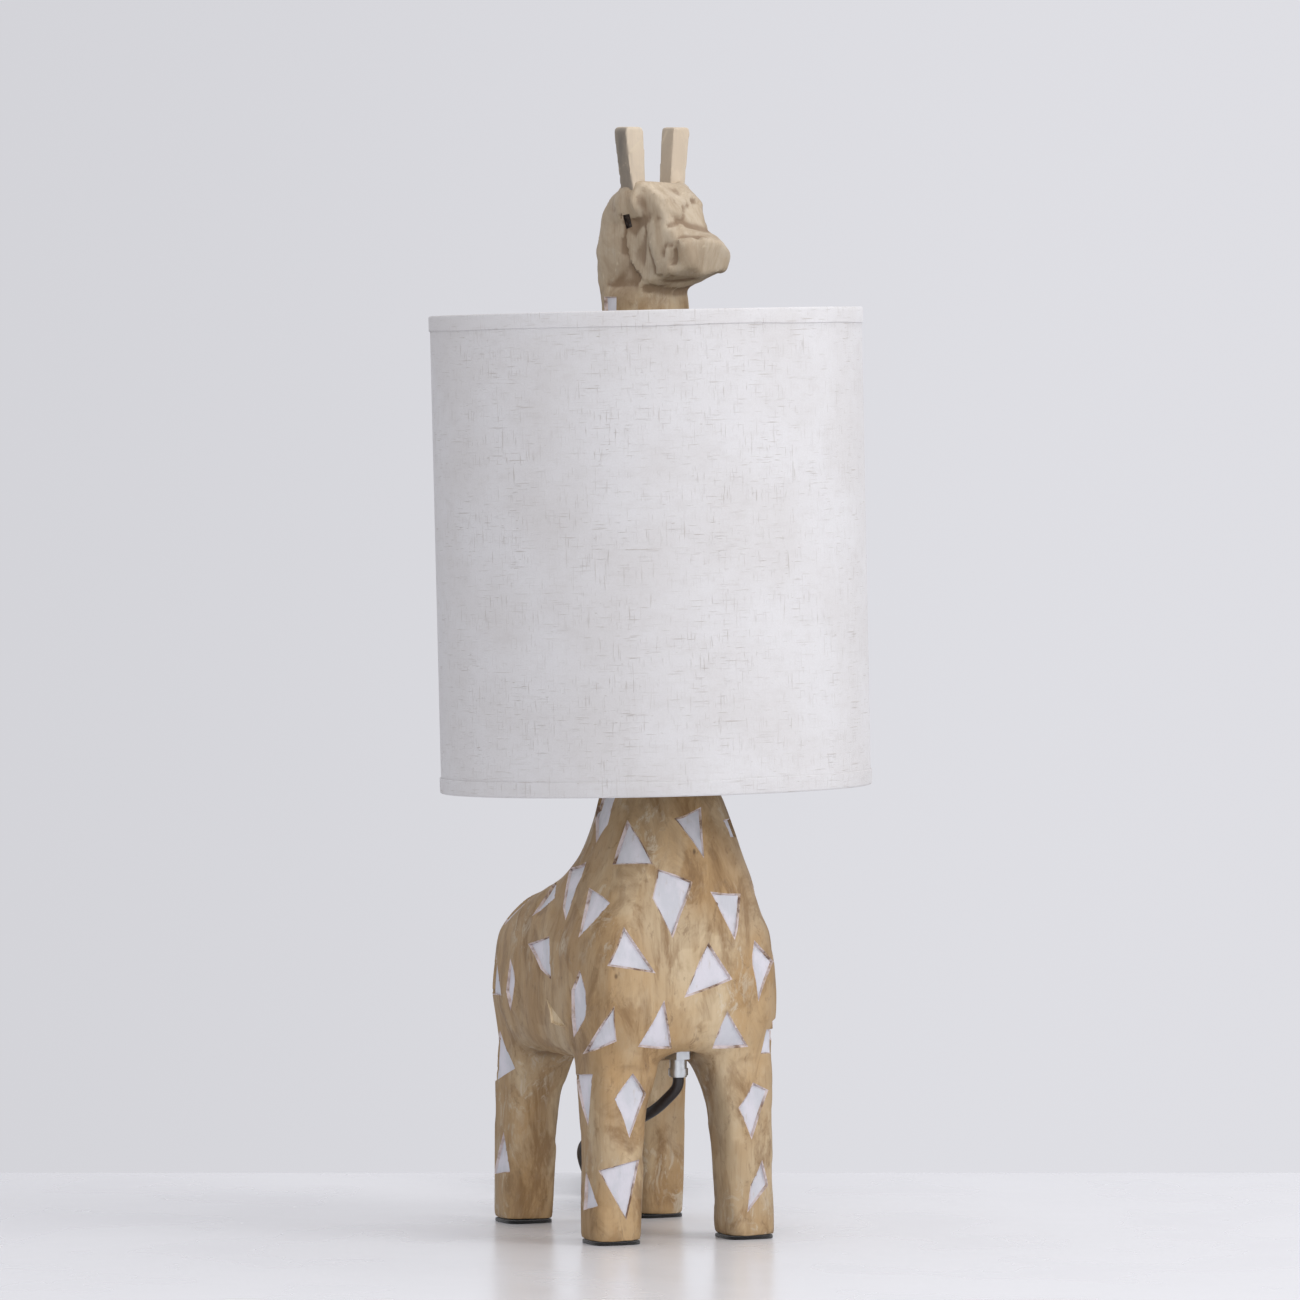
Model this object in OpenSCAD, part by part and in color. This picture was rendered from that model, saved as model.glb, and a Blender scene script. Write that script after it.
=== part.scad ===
// Table lamp: a giraffe carved from one block, standing on four legs, with a
// drum shade of linen round its neck. Millimetres, +Z up. The giraffe faces -Y.
// The origin is on the floor, under the middle of the shade.

/* [Carving] */
// Height of the belly above the floor
leg_h = 104; // [85:1:125]
// Height of the trunk, from the belly to the root of the neck
trunk_h = 151; // [130:1:180]
// Length of the neck, from its root to the chin
neck_l = 292; // [285:1:350]
// Height of the head, from the chin to the crown
head_h = 61.5; // [52:1:74]
// Width of the trunk across the flanks
trunk_w = 125; // [112:1:150]
// Length of the trunk, from chest to rump
trunk_l = 176; // [160:1:210]
// Diameter of the neck just under the head
neck_d = 52; // [44:1:60]
// Length of the snout, from the neck's axis to the nose
snout_l = 52.5; // [44:0.5:60]
// How far the head is turned to the giraffe's left, in degrees
head_turn = 22; // [0:1:30]
// Width and depth of each leg
leg_w = 31; // [26:0.2:34]
// Distance between the left and right legs, centre to centre
leg_gap_x = 83.5; // [76:0.5:88]
// Distance of the front legs' centres ahead of the shade's middle
front_leg_y = 43; // [36:0.5:48]
// Distance of the rear legs' centres behind the shade's middle
rear_leg_y = 88.5; // [82:0.5:96]
// Thickness of the pads under the feet
pad_t = 2; // [1.5:0.5:4]

/* [Horns] */
// Length of a horn above the crown
horn_h = 33; // [24:1:42]
// Thickness of a horn, front to back
horn_t = 10; // [8:0.5:12]
// Width of a horn at its base
horn_w = 12; // [9:0.5:14]
// Extra width of a horn at its tip
horn_flare = 3; // [0:0.5:5]
// Distance between the two horns, centre to centre
horn_gap = 32; // [28:1:36]
// Depth of the socket that a horn is glued in
horn_socket = 9; // [6:1:14]

/* [Tube and arm] */
// Outer diameter of the threaded tube
tube_d = 10; // [8:0.1:12]
// Wall of the threaded tube
tube_wall = 1.2; // [1:0.1:1.3]
// Length of tube that shows under the belly
tube_drop = 9.5; // [6:0.5:14]
// Distance of the tube ahead of the shade's middle
tube_y = 43.5; // [42:0.5:46]
// Radius of the two bends in the arm that carries the lampholder
arm_bend = 14; // [12:0.5:16]
// Width of the nuts across their flats
nut_flats = 14; // [13:0.5:15]
// Height of the nuts
nut_h = 6; // [4:0.5:8]

/* [Lampholder and bulb] */
// Widest diameter of the lampholder
holder_d = 47; // [45:0.5:50]
// Diameter of the lampholder's threaded shell
shell_d = 38.6; // [37:0.2:39.4]
// Height of the lampholder above its cap's seat
holder_h = 58; // [54:1:64]
// Diameter of the bulb's screw cap
bulb_cap_d = 26.2; // [26:0.1:27]
// Diameter of the bulb's globe
bulb_d = 60; // [50:1:61]
// Length of the bulb from contact to crown
bulb_l = 108; // [104:1:116]

/* [Shade] */
// Diameter of the shade at its top edge
shade_d_top = 250; // [230:1:280]
// Diameter of the shade at its bottom edge
shade_d_bottom = 249; // [230:1:280]
// Height of the shade
shade_h = 276; // [250:1:285]
// Height of the shade's bottom edge above the floor
shade_z = 259; // [259:1:264]
// Thickness of the linen
linen_t = 0.8; // [0.6:0.1:1.2]
// Thickness of the stiff liner that the linen is bonded to
liner_t = 0.6; // [0.4:0.1:1]
// Width of the hem tapes at the two edges
hem_w = 9; // [6:0.5:14]
// Diameter of the wire that the shade's frame is made of
wire_d = 3; // [2:0.5:4]
// How far the shade leans back, in degrees
lean_back = 1.35; // [0:0.05:2]
// How far the shade leans to the giraffe's right, in degrees
lean_side = 0.8; // [0:0.05:1.5]

/* [Mains lead] */
// Diameter of the lead
lead_d = 6.5; // [5:0.5:7]
// Length of the switch on the lead
switch_l = 62; // [52:1:72]
// Width of the switch on the lead
switch_w = 28; // [24:1:32]
// Height of the switch on the lead
switch_h = 16; // [14:1:20]
// Straight length of the folded lead, between its round ends
hank_run = 98; // [92:1:120]
// Number of turns in the folded lead
hank_turns = 5; // [3:1:6]

/* [Hidden] */

$fn = 64;
eps = 0.01;
fit = 0.2;            // clearance of a loose fit, on the radius

// ---- heights of the carving
belly_z = leg_h;
root_z = belly_z + trunk_h;
chin_z = root_z + neck_l;
crown_z = chin_z + head_h;

// ---- the neck's axis, at its root and under the head
neck_root = [2.5, -12];
neck_top = [-2.5, -1];
root_w = 70;          // width of the neck's root
root_l = 82;          // length of the neck's root, chest to back

// ---- the lean of the shade and the lampholder
lean = [-lean_back, -lean_side, 0];
function lean_dir(v) =
    let (p = [v.x, v.y * cos(lean_back) + v.z * sin(lean_back),
              -v.y * sin(lean_back) + v.z * cos(lean_back)])
    [p.x * cos(lean_side) - p.z * sin(lean_side), p.y,
     p.x * sin(lean_side) + p.z * cos(lean_side)];
function unlean(v) =
    let (p = [v.x * cos(lean_side) + v.z * sin(lean_side), v.y,
              -v.x * sin(lean_side) + v.z * cos(lean_side)])
    [p.x, p.y * cos(lean_back) - p.z * sin(lean_back),
     p.y * sin(lean_back) + p.z * cos(lean_back)];

// ---- fittings on the tube, from the belly up
tube_bore = tube_d - 2 * tube_wall;
washer_t = 1.5;
washer_d = 16;
recess_d = 19;        // recess in the belly for the nut
recess_h = washer_t + nut_h + 1;
seat_z = shade_z + 3; // carved seat on the chest, out of sight inside the shade
seat_h = 46;          // height of the flat that is cut in the neck above the seat
seat_half_w = 12;
seat_depth = 30;      // reach of that cut ahead of the tube
through = 30;         // how far a cut runs past the wood
tube_top_z = seat_z + washer_t + nut_h + 6.5;
coupler_d = 14;
coupler_l = 14;
arm_rise_z = tube_top_z + 8;
arm_mid_y = -tube_y - arm_bend;
holder_y = -tube_y - 2 * arm_bend;
holder_z = arm_rise_z + 2 * arm_bend + 4;
thread_in = 10;       // length of arm that is inside the lampholder's cap

// ---- the lampholder, as heights above the cap's seat
cap_h = 26;
cap_bore = 36;        // inside of the cap
core_z = 16;          // ceramic core, and the screws in it
core_h = 10;
core_top_z = core_z + core_h;
core_hole_d = 3.2;
terminal_x = 10;
flange_h = 3;
shell_inner_d = bulb_cap_d + 2;
fitter_t = 2;
fitter_z = cap_h + flange_h + 0.05;
ring_z = fitter_z + fitter_t + fit;
ring_h = 7;
contact_z = 30;       // height of the bulb's contact
tip_h = 2;
insulator_h = 4;
bulb_thread_h = 22;
collar_h = 18;

// ---- the shade, in its own frame at the middle of its axis
half_h = shade_h / 2;
skin = linen_t + liner_t;
taper = (shade_d_top - shade_d_bottom) / 2;
shade_mid = [1.2, -1, shade_z + half_h];
wire_r = wire_d / 2;
hem_t = 0.7;
function shade_r(z) = shade_d_bottom / 2 + taper * (z + half_h) / shade_h;
holder_pos = [0, holder_y, holder_z];
fitter_pos = unlean(holder_pos + lean_dir([0, 0, fitter_z]) - shade_mid);
arm_feet = [[76, -97], [-76, -97], [114, 36], [-114, 36]];

// ---- the lead: points of its route, from the tube's mouth to the switch
lead_r = lead_d / 2;
exit_z = belly_z - tube_drop;
tail_route = [
    [0, -43.5, exit_z], [0, -43.5, 91], [-1, -42, 87], [-4, -38, 82],
    [-8, -32, 76], [-12, -24, 71], [-18, -14, 66], [-24, -3, 61],
    [-29, 9, 57], [-31, 21, 51], [-28, 32, 44], [-22, 41, 35],
    [-14, 49, 25], [-6, 58, 15], [2, 68, 7.5], [9, 79, 3.4],
    [15, 93, 3.3], [21, 105, 4], [25.8, 113, 5.6], [29, 119.4, 6.5], [31, 124, 6.5]
];
lay_angle = 66.7;     // direction in which the put-away lead lies
lay = [cos(lay_angle), sin(lay_angle)];
across = [sin(lay_angle), -cos(lay_angle)];
switch_mid = tail_end() + lay * switch_l / 2;
function tail_end() = let (p = tail_route[len(tail_route) - 1]) [p.x, p.y];
entry_z = 6.5;

// ---- the hank
fold_r = 19.5;        // radius of the lead's centre line in a fold
tie_t = 0.8;
tie_w = 12;
hank_near = 12;       // gap between the switch and the hank
hank_side = 8;        // offset of the hank's middle from the switch's line
hank_half = hank_run / 2 + fold_r + lead_r;
hank_h = hank_turns * lead_d + tie_t;
tie_top_z = hank_h + tie_t;
hank_mid = switch_mid + lay * (switch_l / 2 + hank_near + hank_half) + across * hank_side;

// ---- the plug, lying on the hank
plug_l = 36;
plug_w = 26;
plug_h = 13.5;
pin_d = 4;
pin_l = 19;
pin_gap = 18.6;
plug_z = tie_top_z + plug_h / 2;
plug_s = -7;          // place of the plug's middle along the hank

// ================================================================ helpers

function flat(list) = [for (row = list) each row];

// A closed skin over rings of points that all have the same number of points.
module skin_over(rings) {
    n = len(rings[0]);
    last = len(rings) - 1;
    polyhedron(
        points = flat(rings),
        faces = concat(
            [[for (i = [n - 1 : -1 : 0]) i]],
            [for (k = [0 : last - 1], i = [0 : n - 1])
                each [[k * n + i, k * n + (i + 1) % n, (k + 1) * n + (i + 1) % n],
                      [k * n + i, (k + 1) * n + (i + 1) % n, (k + 1) * n + i]]],
            [[for (i = [0 : n - 1]) last * n + i]]
        ),
        convexity = 8
    );
}

function bend_power(c, n) = sign(c) * pow(abs(c), 2 / n);

// One section: [z, x, y, turn, half length, half width at the front, half width at the back, squareness]
function section_ring(s, count) = [
    for (i = [0 : count - 1])
        let (t = -360 * i / count,
             u = s[4] * bend_power(cos(t), s[7]),
             w = s[5] + (s[6] - s[5]) * (s[4] - u) / (2 * s[4]),
             v = w * bend_power(sin(t), s[7]))
        [s[1] + u * sin(s[3]) + v * cos(s[3]), s[2] - u * cos(s[3]) + v * sin(s[3]), s[0]]
];

// A smooth curve through rows of numbers, at parameter t between rows b and c.
function blend_rows(a, b, c, d, t) =
    0.5 * (2 * b + (c - a) * t + (2 * a - 5 * b + 4 * c - d) * t * t + (3 * b - a - 3 * c + d) * t * t * t);
function smooth_rows(rows, steps) = concat(
    [for (i = [0 : len(rows) - 2], k = [0 : steps - 1])
        blend_rows(rows[max(i - 1, 0)], rows[i], rows[i + 1], rows[min(i + 2, len(rows) - 1)], k / steps)],
    [rows[len(rows) - 1]]
);

// A round tube swept along a route of points.
function unit(v) = v / norm(v);
function route_dir(p, i) = unit(p[min(i + 1, len(p) - 1)] - p[max(i - 1, 0)]);
function tube_ring(p, i, r, sides) =
    let (d = route_dir(p, i),
         side = unit(cross(d, abs(d.z) > 0.9 ? [0, 1, 0] : [0, 0, 1])),
         up = cross(side, d))
    [for (k = [0 : sides - 1]) p[i] + r * (cos(360 * k / sides) * side + sin(360 * k / sides) * up)];
module tube_along(p, r, sides = 8) {
    skin_over([for (i = [0 : len(p) - 1]) tube_ring(p, i, r, sides)]);
}

module ring(outer, inner, h) {
    difference() {
        cylinder(d = outer, h = h);
        translate([0, 0, -1]) cylinder(d = inner, h = h + 2);
    }
}

module hex_nut(flats, bore, h) {
    difference() {
        cylinder(d = flats / cos(30), h = h, $fn = 6);
        translate([0, 0, -1]) cylinder(d = bore, h = h + 2);
    }
}

module holder_frame() {
    translate(holder_pos) rotate(lean) children();
}

module shade_frame() {
    translate(shade_mid) rotate(lean) children();
}

module lay_frame(mid, z) {
    translate([mid.x, mid.y, z]) rotate([0, 0, lay_angle]) children();
}

// ================================================================ the carving

// Trunk, neck and head in one run of sections. Widths and lengths are given as
// shares of the trunk's, or in millimetres where they belong to the neck or head.
function trunk_row(h, x, y, len_share, w_share, n) =
    [belly_z + h * trunk_h, x, y, 0, len_share * trunk_l / 2, w_share * trunk_w / 2, w_share * trunk_w / 2, n];
function neck_row(k, l, w, n) =
    let (p = neck_root + (neck_top - neck_root) * k)
    [root_z + k * neck_l, p.x, p.y, head_turn * k, l / 2, w / 2, w / 2, n];
// Head: height share, front and back distance from the neck's axis, half widths.
function head_row(h, front, back, w_front, w_back, n) =
    let (mid = (front - back) / 2)
    [chin_z + h * head_h, neck_top.x + mid * sin(head_turn), neck_top.y - mid * cos(head_turn),
     head_turn, (front + back) / 2, w_front, w_back, n];

body_rows = concat(
    [
        trunk_row(-0.010, 0, 21, 0.78, 0.70, 4),
        trunk_row(0.015, 0, 22, 0.90, 0.86, 5),
        trunk_row(0.070, 0, 22, 0.97, 0.95, 6),
        trunk_row(0.180, 0, 22, 1.00, 1.01, 6),
        trunk_row(0.345, 0, 21.5, 0.995, 1.00, 5.5),
        trunk_row(0.437, 0, 20, 0.965, 0.985, 5.5),
        trunk_row(0.497, 0, 16, 0.910, 0.955, 5.5),
        trunk_row(0.570, 0, 10.5, 0.835, 0.885, 4.5),
        trunk_row(0.616, 0.5, 3, 0.740, 0.850, 4),
        trunk_row(0.675, 1, -7.8, 0.600, 0.800, 3.5),
        trunk_row(0.709, 1.5, -10.4, 0.563, 0.770, 3.2),
        trunk_row(0.768, 2, -13, 0.523, 0.715, 2.8),
        trunk_row(0.841, 2.3, -13.8, 0.492, 0.658, 2.6),
        trunk_row(0.921, 2.5, -13.5, 0.472, 0.610, 2.3)
    ],
    [
        neck_row(0.000, root_l, root_w, 2.1),
        neck_row(0.050, 66, 62, 2.1),
        neck_row(0.130, neck_d + 7, neck_d + 6, 2.1),
        neck_row(0.300, neck_d + 4, neck_d + 4, 2.1),
        neck_row(0.600, neck_d + 2, neck_d + 2, 2.1),
        neck_row(0.960, neck_d, neck_d, 2.1)
    ],
    [
        head_row(0.020, 27, 26, 24, 25.5, 2.3),
        head_row(0.075, 37, 25, 19, 25, 4),
        head_row(0.150, snout_l - 4, 23.5, 19.5, 23.5, 6),
        head_row(0.200, snout_l - 1, 23, 20, 23, 8),
        head_row(0.440, snout_l, 22, 20.5, 22.5, 9),
        head_row(0.500, snout_l - 2.5, 21.5, 20.5, 22.5, 8),
        head_row(0.570, snout_l - 12, 21, 19, 22, 6),
        head_row(0.700, snout_l - 15.5, 19.5, 20, 21.5, 7),
        head_row(0.830, snout_l - 20, 16, 21, 21.5, 7),
        head_row(0.930, snout_l - 26.5, 7, 20.5, 21, 6),
        head_row(1.000, snout_l - 32.5, -3, 19, 19, 6)
    ]
);
body_points = 36;

// Leg: a squared column that spreads towards the belly, on its inner sides only.
leg_points = 20;
function leg_row(z, grow, sx, sy) =
    [z, sx * (leg_gap_x / 2 - grow), sy.x - sy.y * grow, 0,
     leg_w / 2 + grow, leg_w / 2 + grow, leg_w / 2 + grow, 4];
module leg(sx, sy) {
    rows = [
        leg_row(pad_t, 0, sx, sy),
        leg_row(leg_h * 0.20, 0.3, sx, sy),
        leg_row(leg_h * 0.47, 1.0, sx, sy),
        leg_row(leg_h * 0.65, 1.8, sx, sy),
        leg_row(leg_h * 0.78, 2.8, sx, sy),
        leg_row(leg_h * 0.90, 4.8, sx, sy),
        leg_row(leg_h * 1.02, 7, sx, sy),
        leg_row(leg_h * 1.25, 7, sx, sy)
    ];
    skin_over([for (s = smooth_rows(rows, 2)) section_ring(s, leg_points)]);
}

// Legs: side of the giraffe, and [place, side] along its length.
leg_places = [
    [-1, [-front_leg_y, -1]], [1, [-front_leg_y, -1]],
    [-1, [rear_leg_y, 1]], [1, [rear_leg_y, 1]]
];

module horn_cut(side) {
    horn_frame(side)
        translate([-horn_w / 2, 0, -horn_socket]) cube([horn_w, horn_t, horn_socket + through]);
}

module carved_body() {
    color("burlywood") difference() {
        union() {
            skin_over([for (s = smooth_rows(body_rows, 2)) section_ring(s, body_points)]);
            for (p = leg_places) leg(p[0], p[1]);
        }
        translate([0, -tube_y, belly_z - through]) cylinder(d = tube_d + 2 * fit, h = seat_z - belly_z + 2 * through);
        translate([0, -tube_y, belly_z - through]) cylinder(d = recess_d, h = through + recess_h);
        translate([-seat_half_w, -tube_y - seat_depth, seat_z])
            cube([2 * seat_half_w, seat_depth + coupler_d / 2 + 3, seat_h]);
        for (side = [-1, 1]) horn_cut(side);
    }
}

// Horns: flat slabs on the crown, each in a socket. Side -1 is the giraffe's right.
module horn_frame(side) {
    translate([neck_top.x, neck_top.y, crown_z - 2]) rotate([0, 0, head_turn])
        translate([side * horn_gap / 2, -horn_t - 1, 0]) children();
}
module horn(side) {
    color("tan") horn_frame(side) {
        translate([0, horn_t, 0]) rotate([90, 0, 0]) linear_extrude(horn_t)
            polygon([[-horn_w / 2, 0], [horn_w / 2, 0],
                     [horn_w / 2 + (side > 0 ? horn_flare + 2 : -2), horn_h - 1],
                     [horn_w / 2 + (side > 0 ? horn_flare : -3), horn_h + 2],
                     [-horn_w / 2 - (side < 0 ? horn_flare : -3), horn_h + 2],
                     [-horn_w / 2 - (side < 0 ? horn_flare + 2 : -2), horn_h - 1]]);
        translate([-horn_w / 2 + fit, fit, -horn_socket]) cube([horn_w - 2 * fit, horn_t - 2 * fit, horn_socket]);
    }
}
module horn_right() horn(-1);
module horn_left() horn(1);

// Pads: black felt under each foot.
pad_inset = 0.8;      // how far the pads stay inside the feet
module pad(p) {
    half = leg_w / 2 - pad_inset;
    color("black") linear_extrude(pad_t)
        polygon([for (c = section_ring([0, p[0] * leg_gap_x / 2, p[1].x, 0, half, half, half, 4], leg_points)) [c.x, c.y]]);
}
module pad_front_right() pad(leg_places[0]);
module pad_front_left() pad(leg_places[1]);
module pad_rear_right() pad(leg_places[2]);
module pad_rear_left() pad(leg_places[3]);

// ================================================================ tube and arm

module on_tube(z) {
    translate([0, -tube_y, z]) children();
}
module lamp_tube() {
    color("silver") on_tube(exit_z) ring(tube_d, tube_bore, tube_top_z - exit_z);
}
module tube_collar() {
    color("lightgray") on_tube(exit_z + 1) ring(tube_d + 1.4, tube_d + eps, 4);
}
module belly_washer() {
    color("silver") on_tube(belly_z + recess_h - washer_t) ring(washer_d, tube_d + eps, washer_t);
}
module belly_nut() {
    color("silver") on_tube(belly_z + recess_h - washer_t - nut_h) hex_nut(nut_flats, tube_d + eps, nut_h);
}
module seat_washer() {
    color("silver") on_tube(seat_z) ring(washer_d, tube_d + eps, washer_t);
}
module seat_nut() {
    color("silver") on_tube(seat_z + washer_t) hex_nut(nut_flats, tube_d + eps, nut_h);
}
module tube_coupler() {
    color("gold") on_tube(tube_top_z - coupler_l / 2 + 1) ring(coupler_d, tube_d + eps, coupler_l - 2);
}

// One quarter of a bent tube, in the YZ plane.
module bend_quarter(outer, inner) {
    rotate([90, 0, 90]) rotate_extrude(angle = 90) translate([arm_bend, 0]) difference() {
        circle(d = outer);
        if (inner > 0) circle(d = inner);
    }
}
module arm_path(outer, inner, drop, rise) {
    translate([0, -tube_y, arm_rise_z - drop]) tube_piece(outer, inner, drop);
    translate([0, arm_mid_y, arm_rise_z]) bend_quarter(outer, inner);
    translate([0, arm_mid_y, arm_rise_z + 2 * arm_bend]) rotate([180, 0, 0]) bend_quarter(outer, inner);
    translate([0, holder_y, arm_rise_z + 2 * arm_bend]) tube_piece(outer, inner, rise);
}
module tube_piece(outer, inner, h) {
    difference() {
        cylinder(d = outer, h = h);
        if (inner > 0) translate([0, 0, -1]) cylinder(d = inner, h = h + 2);
    }
}
module offset_arm() {
    color("silver") arm_path(tube_d, tube_bore, arm_rise_z - tube_top_z,
                             holder_z + thread_in - arm_rise_z - 2 * arm_bend);
}

// ================================================================ lampholder

module holder_cap() {
    color("black") holder_frame() difference() {
        rotate_extrude() polygon([[0, 0], [12, 0], [19, 4], [21, 8], [21, cap_h], [0, cap_h]]);
        translate([0, 0, -1]) cylinder(d = tube_d + 1, h = thread_in + 2);
        translate([0, 0, thread_in]) cylinder(d = cap_bore, h = cap_h);
    }
}
module holder_core() {
    color("ivory") holder_frame() translate([0, 0, core_z]) difference() {
        cylinder(d = cap_bore - 1, h = core_h);
        translate([0, 0, -1]) cylinder(d = 5, h = core_h + 2);
        for (x = [-terminal_x, terminal_x]) translate([x, 0, -1]) cylinder(d = core_hole_d, h = core_h + 2);
        for (y = [-9, 9]) translate([0, y, -1]) cylinder(d = core_hole_d, h = core_h + 2);
    }
}
module holder_shell() {
    color("black") holder_frame() translate([0, 0, cap_h]) difference() {
        union() {
            cylinder(d = holder_d, h = flange_h);
            cylinder(d = shell_d - 1.2, h = holder_h - cap_h);
            for (k = [0 : 5]) translate([0, 0, flange_h + 2 + k * 4]) cylinder(d = shell_d, h = 2);
        }
        translate([0, 0, -1]) cylinder(d = shell_inner_d, h = holder_h);
    }
}
module centre_contact() {
    color("gold") holder_frame() translate([0, 0, core_top_z]) cylinder(d = 8, h = contact_z - core_top_z - fit);
}
module side_contact() {
    strip_t = 0.65;
    strip_w = 4;
    color("gold") holder_frame() translate([bulb_cap_d / 2 + 0.15, -strip_w / 2, core_top_z])
        cube([strip_t, strip_w, 12]);
}
module terminal_screw(x) {
    head_h = 4;
    color("silver") holder_frame() translate([x, 0, core_z - head_h]) {
        cylinder(d = 5.5, h = head_h);
        cylinder(d = core_hole_d - fit, h = head_h + core_h - 2);
    }
}
module terminal_screw_1() terminal_screw(-terminal_x);
module terminal_screw_2() terminal_screw(terminal_x);
module shade_ring() {
    grips = 24;
    color("black") holder_frame() translate([0, 0, ring_z]) difference() {
        union() {
            cylinder(d = 54, h = ring_h);
            for (k = [0 : grips - 1]) rotate([0, 0, k * 360 / grips])
                translate([27, 0, 1]) cylinder(d = 2.4, h = ring_h - 2, $fn = 16);
        }
        translate([0, 0, -1]) cylinder(d = shell_d + 2 * fit, h = ring_h + 2);
    }
}

// ================================================================ bulb

module bulb_frame() {
    holder_frame() translate([0, 0, contact_z]) children();
}
module bulb_contact() {
    color("silver") bulb_frame() cylinder(d1 = 8, d2 = 10, h = tip_h);
}
module bulb_insulator() {
    color("black") bulb_frame() translate([0, 0, tip_h]) cylinder(d1 = 12, d2 = bulb_cap_d - 4, h = insulator_h);
}
module bulb_cap() {
    color("silver") bulb_frame() translate([0, 0, tip_h + insulator_h]) {
        cylinder(d = bulb_cap_d - 1.6, h = bulb_thread_h);
        for (k = [0 : 4]) translate([0, 0, 1.5 + k * 3.6]) cylinder(d = bulb_cap_d, h = 1.8);
    }
}
bulb_neck_z = tip_h + insulator_h + bulb_thread_h;
globe_z = bulb_l - bulb_d / 2;
module bulb_collar() {
    color("white") bulb_frame() translate([0, 0, bulb_neck_z])
        cylinder(d1 = bulb_cap_d + 1, d2 = bulb_d * 0.72, h = collar_h);
}
module bulb_globe() {
    base_r = bulb_d * 0.36;
    color("whitesmoke") bulb_frame() rotate_extrude() intersection() {
        union() {
            translate([0, globe_z]) circle(d = bulb_d);
            polygon([[0, bulb_neck_z + collar_h], [base_r, bulb_neck_z + collar_h],
                     [bulb_d * 0.49, globe_z - 6], [0, globe_z]]);
        }
        translate([0, bulb_neck_z + collar_h]) square([bulb_d, bulb_l]);
    }
}

// ================================================================ shade

module cone_wall(outer_gap, wall, z0, z1) {
    difference() {
        translate([0, 0, z0])
            cylinder(r1 = shade_r(z0) - outer_gap, r2 = shade_r(z1) - outer_gap, h = z1 - z0, $fn = 128);
        translate([0, 0, z0 - 1])
            cylinder(r1 = shade_r(z0 - 1) - outer_gap - wall, r2 = shade_r(z1 + 1) - outer_gap - wall,
                     h = z1 - z0 + 2, $fn = 128);
    }
}
module shade_linen() {
    color("ivory") shade_frame() cone_wall(0, linen_t, -half_h + hem_t, half_h - hem_t);
}
module shade_liner() {
    color("white") shade_frame() cone_wall(linen_t, liner_t, -half_h + hem_t, half_h - hem_t);
}
// Hem tape: folded over the edge, outside and inside. End +1 is the top.
module hem(end) {
    edge = end * half_h;
    inner = edge - end * hem_w;
    fold = edge - end * hem_t;
    color("ivory") shade_frame() rotate_extrude($fn = 128) polygon([
        [shade_r(inner), inner], [shade_r(inner) + hem_t, inner], [shade_r(edge) + hem_t, edge],
        [shade_r(edge) - skin - hem_t, edge], [shade_r(fold) - skin - hem_t, fold],
        [shade_r(fold) - skin, fold], [shade_r(fold), fold]
    ]);
}
module hem_top() hem(1);
module hem_bottom() hem(-1);

function wire_ring_r(z) = shade_r(z) - skin - wire_r - 0.1;
wire_edge = hem_t + wire_r + 0.1;
top_wire_z = half_h - wire_edge;
bottom_wire_z = -top_wire_z;
module wire_ring(z) {
    color("white") shade_frame() translate([0, 0, z])
        rotate_extrude($fn = 128) translate([wire_ring_r(z), 0]) circle(d = wire_d, $fn = 24);
}
module shade_top_wire() wire_ring(top_wire_z);
module shade_bottom_wire() wire_ring(bottom_wire_z);

// A straight wire between two points.
module wire(a, b) {
    d = b - a;
    translate(a) rotate([0, acos(d.z / norm(d)), atan2(d.y, d.x)]) cylinder(d = wire_d - 0.5, h = norm(d), $fn = 24);
}
// Fitter: a flat ring on the lampholder, and four arms from it to the bottom wire.
fitter_ring_d = 56;
module fitter_ring() {
    color("white") shade_frame() translate(fitter_pos) ring(fitter_ring_d, 40.4, fitter_t);
}
module fitter_arm(f) {
    foot = unit(f) * wire_ring_r(bottom_wire_z);
    start = unit(f - [fitter_pos.x, fitter_pos.y]) * (fitter_ring_d / 2 - 2) + [fitter_pos.x, fitter_pos.y];
    difference() {
        color("white") shade_frame() wire([start.x, start.y, fitter_pos.z + fitter_t / 2], [foot.x, foot.y, bottom_wire_z]);
        shade_frame() translate([fitter_pos.x, fitter_pos.y, fitter_pos.z - 2 * wire_d])
            cylinder(d = fitter_ring_d, h = 4 * wire_d);
        shade_bottom_wire();
    }
}
module fitter_arm_1() fitter_arm(arm_feet[0]);
module fitter_arm_2() fitter_arm(arm_feet[1]);
module fitter_arm_3() fitter_arm(arm_feet[2]);
module fitter_arm_4() fitter_arm(arm_feet[3]);

// ================================================================ mains lead

module inner_lead() {
    d = lead_d - 0.4;
    color("dimgray") {
        on_tube(exit_z) cylinder(d = d, h = arm_rise_z - exit_z);
        arm_path(d, 0, 1, holder_z + thread_in - arm_rise_z - 2 * arm_bend + 4);
    }
}
module cord_tail() {
    color("black") tube_along(tail_route, lead_r, 10);
}

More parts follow.
